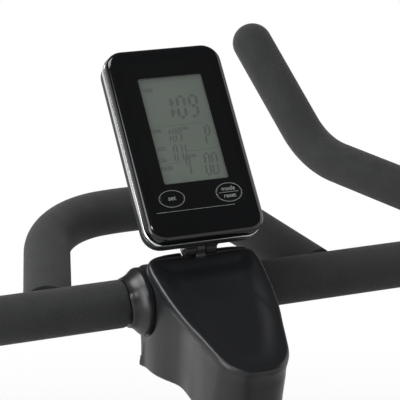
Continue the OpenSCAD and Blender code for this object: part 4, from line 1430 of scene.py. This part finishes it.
@dataclass(frozen=True)
class Readout:
    """A row of digits on the display: shares of the window from its left and top edges."""

    text: str
    centres: Sequence[float]
    top: float
    bottom: float
    digit_width: float
    stroke: float


@dataclass
class Console:
    """Tilting display with a glossy bezel, a chromed band, a film with a window, and two keys.

    Its own frame has X to the rider's right, Y up the face and Z out of the face.
    """

    place: Matrix
    width: float = 90.0
    height: float = 150.0
    middle: float = -9.0
    corner: float = 14.0
    round_over: float = 5.0
    bezel_deep: float = 8.0
    trim_deep: float = 5.0
    film_width: float = 72.0
    film_top: float = 54.0
    film_low: float = -62.4
    window: tuple[float, float] = (49.4, 82.9)
    display_at: float = -2.7
    key_x: float = 22.0
    key_y: float = -52.6
    keys: tuple[tuple[float, float], tuple[float, float]] = ((18.0, 11.4), (18.5, 13.0))
    slant: float = 6.0
    readouts: Sequence[Readout] = (
        Readout("1", (0.395,), 0.172, 0.396, 5.2, 2.2),
        Readout("09", (0.592, 0.782), 0.172, 0.396, 6.4, 2.2),
        Readout("109", (0.275, 0.368, 0.452), 0.474, 0.606, 2.8, 1.15),
        Readout("P", (0.885,), 0.476, 0.668, 4.0, 1.5),
        Readout("0", (0.318,), 0.63, 0.79, 2.8, 1.15),
        Readout("71", (0.402, 0.46), 0.63, 0.79, 2.6, 1.15),
        Readout("4", (0.465,), 0.733, 0.93, 3.2, 1.25),
        Readout("00", (0.762, 0.878), 0.736, 0.95, 4.1, 1.5),
    )
    dots: Sequence[tuple[float, float, float]] = (
        (0.487, 0.235, 1.4), (0.478, 0.325, 1.4), (0.352, 0.782, 0.8), (0.815, 0.94, 1.0),
    )
    rules: Sequence[tuple[float, float, float]] = (
        (0.04, 0.83, 0.449), (0.51, 0.955, 0.703), (0.14, 0.42, 0.803)
    )
    labels: Sequence[tuple[str, float, float, float]] = (
        ("TIME", 0.125, 0.103, 4.0), ("RPM", 0.095, 0.492, 4.4), ("KM", 0.56, 0.49, 3.4),
        ("DIST", 0.095, 0.662, 4.0),
        ("KM", 0.565, 0.752, 3.4), ("CAL", 0.09, 0.765, 3.4), ("PULSE", 0.11, 0.845, 3.8),
    )

    def slab(self, grow: float, z: float) -> list[Point]:
        """Outline of the console, grown by a margin."""
        return rounded_loop(
            self.width + 2 * grow, self.height + 2 * grow, self.corner + grow, z, 0, self.middle, 12
        )

    def film_loop(self, grow: float, z: float) -> list[Point]:
        """Outline of the film, grown by a margin."""
        tall = self.film_top - self.film_low
        return rounded_loop(
            self.film_width + 2 * grow, tall + 2 * grow, 6 + grow, z, 0,
            (self.film_top + self.film_low) / 2, 12
        )

    def window_loop(self, grow: float, z: float) -> list[Point]:
        """Outline of the window, grown by a margin."""
        w, h = self.window
        return rounded_loop(w + 2 * grow, h + 2 * grow, 1.5, z, 0, 0, 12)

    def bezel(self) -> None:
        """Build the glossy front, its rim rolled over all round."""
        r = self.round_over
        loops = [self.slab(0, -self.bezel_deep), self.slab(0, -r - 0.6)]
        for a in range(0, 91, 10):
            t = math.radians(a)
            loops.append(self.slab(-r * (1 - math.cos(t)), -r + r * math.sin(t)))
        loops += [
            self.slab(-r - 0.5, 0), self.film_loop(0.06, 0), self.film_loop(0.06, -1.05),
            self.window_loop(0, -1.05),
            self.window_loop(0, -2.6), self.slab(-3.5, -2.6), self.slab(-3.5, -self.bezel_deep),
        ]
        finished(
            "Console_bezel", new_mesh("bezel", *loft(loops, True), self.place, 32), GLOSS_BLACK,
            "console", "console_front"
        )

    def trim(self) -> None:
        """Build the chromed band behind the bezel."""
        low, high = -self.bezel_deep - self.trim_deep, -self.bezel_deep - 0.05
        mid, half = (low + high) / 2, (high - low) / 2
        loops = [self.slab(-5, low), self.slab(-0.3, low)]
        loops += [self.slab(0.6 - 0.9 * (t * t) ** 2, mid + half * t) for t in np.linspace(-0.94, 0.94, 9)]
        loops += [self.slab(-0.3, high), self.slab(-5, high)]
        finished(
            "Console_band", new_mesh("band", *loft(loops, True), self.place, 50), CHROME, "console",
            "console_trim"
        )

    def face(self) -> None:
        """Build the printed film, the clear window, the silver print and a painted highlight line along the
        film's bottom edge.
        """
        ovals = [
            oval_loop(w / 2 + 0.3, h / 2 + 0.3, 0, x, self.key_y) for x,
            (w, h) in zip((-self.key_x, self.key_x), self.keys)
        ]
        film = plate("film", self.film_loop(-0.02, 0), [self.window_loop(0, 0), *ovals], 1.0, self.place)
        finished("Console_film", film, PRINTED_FILM, "console", "console_lens")
        pane = plate("pane", self.window_loop(-0.02, -0.02), [], 0.9, self.place)
        finished("Console_window", pane, CLEAR_WINDOW, "console")
        rings = [
            plate("ring", oval_loop(w / 2 + 0.82, h / 2 + 0.82, 0.03, x, self.key_y),
                  [oval_loop(w / 2 + 0.42, h / 2 + 0.42, 0.03, x, self.key_y)], 0.05, self.place)
            for x, (w, h) in zip((-self.key_x, self.key_x), self.keys)
        ]
        # Pale line along the film's bottom edge: a painted highlight in the print's pale ink, standing in for
        # the light that the film's edge catches.
        half = self.film_width / 2
        line = plate(
            "line", rounded_loop(half + 24, 0.3, 0.1, 0.02, -6, self.film_low + 0.2, 2), [], 0.04, self.place
        )
        finished("Console_print", joined("print", [*rings, line]), INK_AND_PAINTED_HIGHLIGHT, "console")

    def at_share(self, a: float, b: float) -> tuple[float, float]:
        """Place on the display from shares of the window from its left and top edges."""
        return (a - 0.5) * self.window[0], (0.5 - b) * self.window[1]

    def bar_between(
        self, p: tuple[float, float], q: tuple[float, float], wide: float, lift: float
    ) -> bpy.types.Mesh:
        """Thin bar with pointed ends between two places on the display.

        Args:
            p: First end.
            q: Second end.
            wide: Width of the bar.
            lift: Height above the display.

        Returns:
            The bar.
        """
        d = Vector((q[0] - p[0], q[1] - p[1]))
        e = d.normalized()
        n = Vector((-e.y, e.x)) * wide / 2
        inset = e * wide / 2
        a, b = Vector(p) + inset * 0.55, Vector(q) - inset * 0.55
        outline = [a, a + inset + n, b - inset + n, b, b - inset - n, a + inset - n]
        return plate("bar", [(v.x, v.y, self.display_at + lift) for v in outline], [], 0.08, self.place)

    def digit(self, mark: str, centre: float, row: Readout) -> list[bpy.types.Mesh]:
        """Strokes of one digit.

        Args:
            mark: The digit.
            centre: Middle of the digit, as a share of the window's width.
            row: The row it stands in.

        Returns:
            One mesh for each stroke.
        """
        x, top = self.at_share(centre, row.top)
        _, low = self.at_share(centre, row.bottom)
        tall, wide = top - low - row.stroke, row.digit_width - row.stroke * 0.4
        lean = math.tan(math.radians(self.slant))

        def corner(c: tuple[int, int]) -> tuple[float, float]:
            """Place of a grid corner on the leaning digit."""
            y = (c[1] / 2 - 0.5) * tall
            return x + (c[0] - 0.5) * wide + y * lean, (top + low) / 2 + y

        return [
            self.bar_between(corner(Stroke[s].value[0]), corner(Stroke[s].value[1]), row.stroke, 0.04)
            for s in STROKES[mark].split()
        ]

    def words(
        self, text: str, size: float, x: float, y: float, z: float, bold: float = 0.0
    ) -> bpy.types.Mesh:
        """Lettering as a mesh.

        Args:
            text: The words.
            size: Height of a line.
            x: Middle of the words.
            y: Middle of the words.
            z: Height of their back.
            bold: How much to thicken the strokes.

        Returns:
            The words.
        """
        curve = bpy.data.curves.new(text, "FONT")
        curve.body, curve.size, curve.align_x, curve.align_y = text, size, "CENTER", "CENTER"
        curve.extrude, curve.resolution_u, curve.offset = 0.03, 3, bold
        mesh = baked(stand_in(curve))
        mesh.transform(self.place @ Matrix.Translation((x, y, z)))
        return mesh

    def display(self) -> None:
        """Build the display and the marks that it shows."""
        panel = plate("panel", rounded_loop(56, 88, 1, self.display_at, 0, 0, 3), [], 2.5, self.place)
        finished("Console_display", panel, DISPLAY, "console", "lcd_panel")
        marks: list[bpy.types.Mesh] = []
        for row in self.readouts:
            for mark, centre in zip(row.text, row.centres):
                marks += self.digit(mark, centre, row)
        for a, b, size in self.dots:
            x, y = self.at_share(a, b)
            marks.append(
                plate(
                    "dot", rounded_loop(size, size, 0.2, self.display_at + 0.04, x, y, 1), [], 0.08, self.place
                )
            )
        for a0, a1, b in self.rules:
            (x0, y), (x1, _) = self.at_share(a0, b), self.at_share(a1, b)
            marks.append(
                plate(
                    "rule",
                    rounded_loop(x1 - x0, 0.32, 0.1, self.display_at + 0.04, (x0 + x1) / 2, y, 1),
                    [],
                    0.08,
                    self.place,
                )
            )
        w, h = self.window
        edge = plate("edge", rounded_loop(w - 2.2, h - 2.4, 0.8, self.display_at + 0.03, 0, 0, 2),
                     [rounded_loop(w - 2.7, h - 2.9, 0.6, self.display_at + 0.03, 0, 0, 2)], 0.05, self.place)
        marks.append(edge)
        for text, a, b, size in self.labels:
            x, y = self.at_share(a, b)
            marks.append(self.words(text, size, x, y, self.display_at + 0.03, 0.16))
        finished("Display_marks", joined("marks", marks), SEGMENT, "console")

    def key(self, i: int) -> bpy.types.Mesh:
        """Low domed oval key.

        Args:
            i: 0 for the key on the rider's left, 1 for the right.

        Returns:
            The key.
        """
        w, h = self.keys[i]
        x = (-self.key_x, self.key_x)[i]
        steps = ((0, -5.2), (0, -0.12), (-0.12, 0.03), (-0.35, 0.1), (-1.2, 0.17), (-2.6, 0.21), (-4.2, 0.22))
        loops = [oval_loop(w / 2 + g, h / 2 + g, z, x, self.key_y) for g, z in steps]
        return new_mesh("key", *loft(loops), self.place, 45)

    def button_set(self) -> None:
        """Build the key that sets a value, with its word."""
        finished("Key_set", self.key(0), PRINTED_FILM, "button_set", "button_set")
        word = self.words("set", 5.0, -self.key_x, self.key_y + 0.3, 0.22, 0.06)
        finished("Key_set_word", word, INK_AND_PAINTED_HIGHLIGHT, "button_set")

    def button_mode(self) -> None:
        """Build the key that changes mode and resets, with its words and dividing line."""
        finished("Key_mode", self.key(1), PRINTED_FILM, "button_mode", "button_mode")
        line = plate(
            "line", rounded_loop(15.0, 0.3, 0.1, 0.27, self.key_x, self.key_y + 0.1, 2), [], 0.06, self.place
        )
        marks = [
            self.words("mode", 4.6, self.key_x, self.key_y + 2.9, 0.2, 0.05),
            self.words("reset", 4.6, self.key_x, self.key_y - 2.6, 0.2, 0.05),
            line,
        ]
        finished("Key_mode_words", joined("words", marks), INK_AND_PAINTED_HIGHLIGHT, "button_mode")

    def back(self) -> None:
        """Dress the back, its door, the hinge and what is inside."""
        softened("console_back", MOULDED, 0.9, 3, "Console_back")
        softened("battery_door", MOULDED, 0.5, 2, "Battery_door")
        softened("console_hinge_pin", ZINC, 0.3, 2, "Hinge_pin")
        dressed(BOARD, "circuit_board")
        dressed(CELL, "batteries")
        deep = -self.bezel_deep - self.trim_deep - 7.0
        screws = []
        for x in (-33, 33):
            for y in (-66, 50):
                profile = [
                    (0.05, deep - 0.1), (2.2, deep - 0.15), (3.1, deep - 0.5), (3.4, deep - 0.1),
                    (3.4, deep + 0.6), (0.05, deep + 0.6)
                ]
                points, faces = turned(profile, 24)
                screws.append(
                    new_mesh("screw", [(px + x, py + y, pz) for px, py, pz in points], faces, self.place, 40)
                )
        finished("Console_screws", joined("screws", screws), ZINC, "console")

    def build(self) -> None:
        """Build the whole console."""
        self.bezel()
        self.trim()
        self.face()
        self.display()
        self.button_set()
        self.button_mode()
        self.back()


# ------------------------------------------------------------------ saddle


@dataclass
class Saddle:
    """Padded saddle on a shell, with steel rails, a carriage and its post."""

    voxel: float = 5.0
    slack: float = 2.4
    cap: float = 9.0
    pressure: float = 4.0
    frames: int = 20
    seam_share: float = 0.42

    def blank(self) -> bpy.types.Mesh:
        """Even-meshed blank of the cushion, a little smaller than the finished pad."""
        solid = frame["nodes"]["saddle_cushion"]
        work = bmesh.new()
        work.from_mesh(solid.data)
        bmesh.ops.remove_doubles(work, verts=work.verts, dist=1e-5)
        mesh = bpy.data.meshes.new("cushion")
        work.to_mesh(mesh)
        work.free()
        piece = stand_in(mesh)
        even = piece.modifiers.new("Even", "REMESH")
        even.mode = "VOXEL"
        even.voxel_size = self.voxel * MM
        rub = piece.modifiers.new("Rubbed", "SMOOTH")
        rub.factor, rub.iterations = 0.5, 6
        mesh = baked(piece)
        work = bmesh.new()
        work.from_mesh(mesh)
        work.normal_update()
        for corner in work.verts:
            corner.co -= corner.normal * self.slack * MM
        work.to_mesh(mesh)
        work.free()
        return mesh

    def blown(self, mesh: bpy.types.Mesh) -> bpy.types.Mesh:
        """Swell the blank with cloth under pressure, then cap how far it moved.

        Args:
            mesh: The blank.

        Returns:
            The swollen skin.
        """
        rest = np.array([v.co for v in mesh.vertices])
        piece = stand_in(mesh)
        cloth = piece.modifiers.new("Skin", "CLOTH")
        cloth.settings.quality = 6
        cloth.settings.tension_stiffness = 15
        cloth.settings.compression_stiffness = 15
        cloth.settings.bending_stiffness = 2
        cloth.settings.use_pressure = True
        cloth.settings.uniform_pressure_force = self.pressure
        cloth.settings.effector_weights.gravity = 0
        cloth.point_cache.frame_start, cloth.point_cache.frame_end = 1, self.frames
        scene = bpy.context.scene
        for number in range(1, self.frames + 1):
            scene.frame_set(number)
        result = baked(piece)
        scene.frame_set(1)
        moved = np.array([v.co for v in result.vertices]) - rest
        far = np.linalg.norm(moved, axis=1, keepdims=True)
        moved *= np.minimum(1.0, self.cap * MM / np.maximum(far, 1e-9))
        places = rest + moved
        low = box_of("saddle_cushion")[0].z
        places[:, 2] = np.maximum(places[:, 2], low)
        result.vertices.foreach_set("co", places.ravel())
        return result

    def cushion(self) -> bpy.types.Mesh:
        """Build the pad."""
        mesh = self.blank()
        mesh = self.blown(mesh)
        piece = stand_in(mesh)
        fine = piece.modifiers.new("Fine", "SUBSURF")
        fine.levels = fine.render_levels = 1
        mesh = baked(piece)
        shade(mesh, 180)
        return mesh

    def seam(self, mesh: bpy.types.Mesh, share: float, out: float) -> list[Vector]:
        """Path round the pad at a share of its height.

        Args:
            mesh: The pad.
            share: Height as a share of the pad's.
            out: Distance from the surface in millimetres.

        Returns:
            The closed path in metres.
        """

        tree = BVHTree.FromPolygons([v.co for v in mesh.vertices], [tuple(p.vertices) for p in mesh.polygons])
        low, high, mid = box_of("saddle_cushion")
        height = low.z + (high.z - low.z) * share
        spine = Vector((mid.x - 0.03, 0, height))
        path = []
        for i in range(180):
            a = 2 * math.pi * i / 180
            ray = Vector((math.cos(a), math.sin(a), 0))
            hit, normal, _, _ = tree.ray_cast(spine + ray * 0.4, -ray)
            if hit is not None:
                path.append(hit + normal * out * MM)
        return path

    def build(self) -> None:
        """Build the saddle, its rails, carriage and post."""
        mesh = self.cushion()
        piping = tube("piping", self.seam(mesh, self.seam_share, 0.3), 1.5, SADDLE_SKIN, None, 10, True)
        upper = self.seam(mesh, self.seam_share + 0.14, 0.15)
        stitches = beads("stitches", upper, 4.0, (2.9, 0.8, 0.8), THREAD, lean=8, closed=True)
        pad = finished("Saddle_pad", mesh, SADDLE_SKIN, "saddle", "saddle_cushion")
        finished("Saddle_piping", piping, SADDLE_SKIN, "saddle")
        finished("Saddle_stitches", stitches, THREAD, "saddle")
        softened("saddle_shell", MOULDED, 1.5, 3)
        softened("saddle_rails", ZINC, 0.2, 1)
        softened("seat_carriage", MOULDED, 1.2, 3)
        softened("seat_post", POLISHED, 0.8, 2)
        softened("seat_height_knob", MOULDED, 1.6, 3)
        softened("seat_slide_knob", MOULDED, 1.6, 3)


# ------------------------------------------------------------------ frame and drive


@dataclass
class Frame:
    """Welded steel frame with its feet."""

    bead: tuple[float, float, float] = (6.0, 5.0, 4.0)

    def weld(self, name: str, corners: Sequence[Vector]) -> None:
        """Lay a weld of overlapping ripples along a closed path.

        Args:
            name: Name of the weld.
            corners: Corners of the path, in metres.
        """
        ring = beads(name, corners, 2.2, self.bead, POWDER, lean=0, uneven=0.2, seed=7, closed=True)
        finished(name, ring, POWDER, "frame")

    def leg_weld(self, node: str, height: float, name: str) -> None:
        """Weld round a fork leg at a height.

        Args:
            node: The leg.
            height: Height above the floor in metres.
            name: Name of the weld.
        """
        mesh = frame["nodes"][node].data
        near = [v.co for v in mesh.vertices if abs(v.co.z - height) < 0.003]
        if len(near) < 4:
            return
        x0, x1 = min(c.x for c in near), max(c.x for c in near)
        y0, y1 = min(c.y for c in near), max(c.y for c in near)
        self.weld(name, [Vector((x, y, height)) for x, y in ((x0, y0), (x1, y0), (x1, y1), (x0, y1))])

    def build(self) -> None:
        """Dress the frame."""
        for node in ("head_tube", "down_tube", "seat_tube", "rear_beam", "fork_left", "fork_right",
                     "front_stabilizer", "rear_stabilizer"):
            softened(node, POWDER, 1.4, 3)
        for side in ("left", "right"):
            self.leg_weld(f"fork_{side}", box_of("head_tube")[0].z, f"Weld_crown_{side}")
        softened("post_bushings", MOULDED, 1.0, 2)
        softened("stabilizer_end_caps", RUBBER, 2.0, 3)
        for side in ("left", "right"):
            softened(f"levelling_foot_{side}", RUBBER, 1.2, 3)
            softened(f"transport_wheel_{side}", RUBBER, 1.8, 3)
        softened("frame_fasteners", ZINC, 0.6, 2)
        softened("flywheel_axle", ZINC, 0.8, 2)
        dressed(ZINC, "ball_bearings")
        softened("handlebar_knob", MOULDED, 1.6, 3)
        LOG.info("frame dressed")


@dataclass
class Drive:
    """Cranks, pedals, pulleys, belt, guard and flywheel."""

    hub: float = 20.05
    web: tuple[tuple[float, float], ...] = ((36, 30), (36, 9), (173, 6), (183, 17.6))
    rim: float = 215.0
    rim_half: float = 18.0
    stud: float = 2.4
    tread_m: float = 0.041
    tread_top_m: float = 0.0118
    crank_half_m: float = 0.016
    stud_margins_m: tuple[float, float] = (0.006, 0.010)

    def flywheel(self) -> None:
        """Turn the flywheel: a painted web inside a machined rim."""
        centre = box_of("flywheel")[2]
        place = Matrix.Translation(centre) @ Matrix.Rotation(math.radians(-90), 4, "X") @ Matrix.Scale(MM, 4)
        (r0, h0), (_, h1), (r2, h2), (r3, h3) = self.web
        half = [
            (self.hub, h0), (r0 - 1.5, h0), (r0 - 0.4, h0 - 0.4), (r0, h0 - 1.5), (r0 + 0.4, h1 + 3),
            (r0 + 1.6, h1 + 1),
            (r0 + 4, h1), (r2 - 8, h2 + 0.2), (r2 - 2, h2 + 1.2), (r2 + 3, h2 + 5), (r3 - 3, h3 - 2),
            (r3, h3),
        ]
        profile = half + [(r, -h) for r, h in reversed(half)]
        web = new_mesh("web", *turned(profile, 128), place, 40)
        finished("Flywheel_web", web, POWDER, "flywheel", "flywheel")
        w = self.rim_half
        ring = [
            (r3 - 2, w - 0.4), (r3 - 1.6, w), (self.rim - 2.2, w), (self.rim - 0.7, w - 0.6),
            (self.rim, w - 2.0),
            (self.rim, -w + 2.0), (self.rim - 0.7, -w + 0.6), (self.rim - 2.2, -w), (r3 - 1.6, -w),
            (r3 - 2, -w + 0.4),
        ]
        finished("Flywheel_rim", new_mesh("rim", *turned(ring, 160), place, 40), CAST_IRON, "flywheel")

    def studs(self, side: str) -> None:
        """Set grip studs along two tread bars of a pedal.

        Args:
            side: "left" or "right".
        """
        low, high = box_of(f"pedal_{side}")[:2]
        sign = 1 if side == "left" else -1
        inner = min(abs(low.y), abs(high.y)) + self.stud_margins_m[0]
        outer = max(abs(low.y), abs(high.y)) - self.stud_margins_m[1]
        axle = box_of("crank_spindle")[2].z
        ends = [box_of(f"crank_{side}")[i].x for i in (0, 1)]
        toe = ends[0] + self.crank_half_m if side == "left" else ends[1] - self.crank_half_m
        rows = []
        for x in (toe - self.tread_m, toe + self.tread_m):
            path = [Vector((x, sign * y, axle + self.tread_top_m)) for y in (inner, outer)]
            rows.append(beads("studs", path, 9.0, (self.stud * 1.4, self.stud, 1.6), MOULDED))
        finished(f"Pedal_studs_{side}", joined("studs", rows), MOULDED, f"pedal_{side}")

    def build(self) -> None:
        """Dress the drive."""
        self.flywheel()
        for side in ("left", "right"):
            softened(f"crank_{side}", ALUMINIUM, 2.6, 4)
            softened(f"pedal_{side}", MOULDED, 1.0, 2)
            self.studs(side)
        softened("crank_spindle", ZINC, 0.8, 2)
        softened("pedal_axles", ZINC, 0.6, 2)
        softened("drive_pulley", ALUMINIUM, 0.8, 2)
        softened("flywheel_pulley", ALUMINIUM, 0.6, 2)
        softened("belt_guard_outer", MOULDED, 1.0, 3)
        softened("belt_guard_inner", MOULDED, 0.8, 2)
        dressed(RUBBER, "drive_belt")


@dataclass
class Brake:
    """Felt pad on a rod through the frame, with a coil spring and a knob."""

    lean: float = 90 - 137.076
    wire: float = 1.1
    coil: float = 9.4
    turns: float = 5.0
    half_length: float = 8.0

    def spring(self) -> None:
        """Wind the return spring as one coil between its closed ends."""
        mid = box_of("brake_spring")[2]
        place = Matrix.Translation(mid) @ Matrix.Rotation(
            math.radians(self.lean), 4, "Y"
        ) @ Matrix.Scale(MM, 4)
        path = []
        steps = int(self.turns * 24)
        for i in range(steps + 1):
            a = 2 * math.pi * self.turns * i / steps
            share = min(max((i / steps - 0.1) / 0.8, 0), 1)
            path.append(
                place
                @ Vector((self.coil * math.cos(a), self.coil * math.sin(a), (2 * share - 1) * self.half_length))
            )
        finished(
            "Brake_spring", tube("spring", path, self.wire, ZINC, None, 10), ZINC, "brake", "brake_spring"
        )

    def build(self) -> None:
        """Dress the brake."""
        self.spring()
        softened("brake_rod", POLISHED, 0.6, 2)
        softened("brake_pad", FELT, 0.8, 2)
        softened("resistance_knob", MOULDED, 1.6, 3)


# ------------------------------------------------------------------ assembly


def console_place() -> Matrix:
    """Matrix from the console's own millimetres to metres in the row frame."""
    lean = math.radians(38)
    right = Vector((0, -1, 0))
    up = Vector((math.sin(lean), 0, math.cos(lean)))
    out = right.cross(up)
    middle = box_of("lcd_panel")[2] + out * 3.95 * MM
    turn = Matrix((right, up, out)).transposed().to_4x4()
    return Matrix.Translation(middle) @ turn @ Matrix.Scale(MM, 4)


def main() -> None:
    """Build every part of the scene in order."""
    logging.basicConfig(level=logging.INFO, format="%(name)s: %(message)s")
    head = box_of("bar_collars")[2]
    place = Matrix.Translation(head) @ Matrix.Scale(MM, 4)
    Studio(head).build()
    Handlebar(place).build()
    StemCover(place).build()
    Console(console_place()).build()
    Saddle().build()
    Frame().build()
    Drive().build()
    Brake().build()


if __name__ == "__main__":
    main()
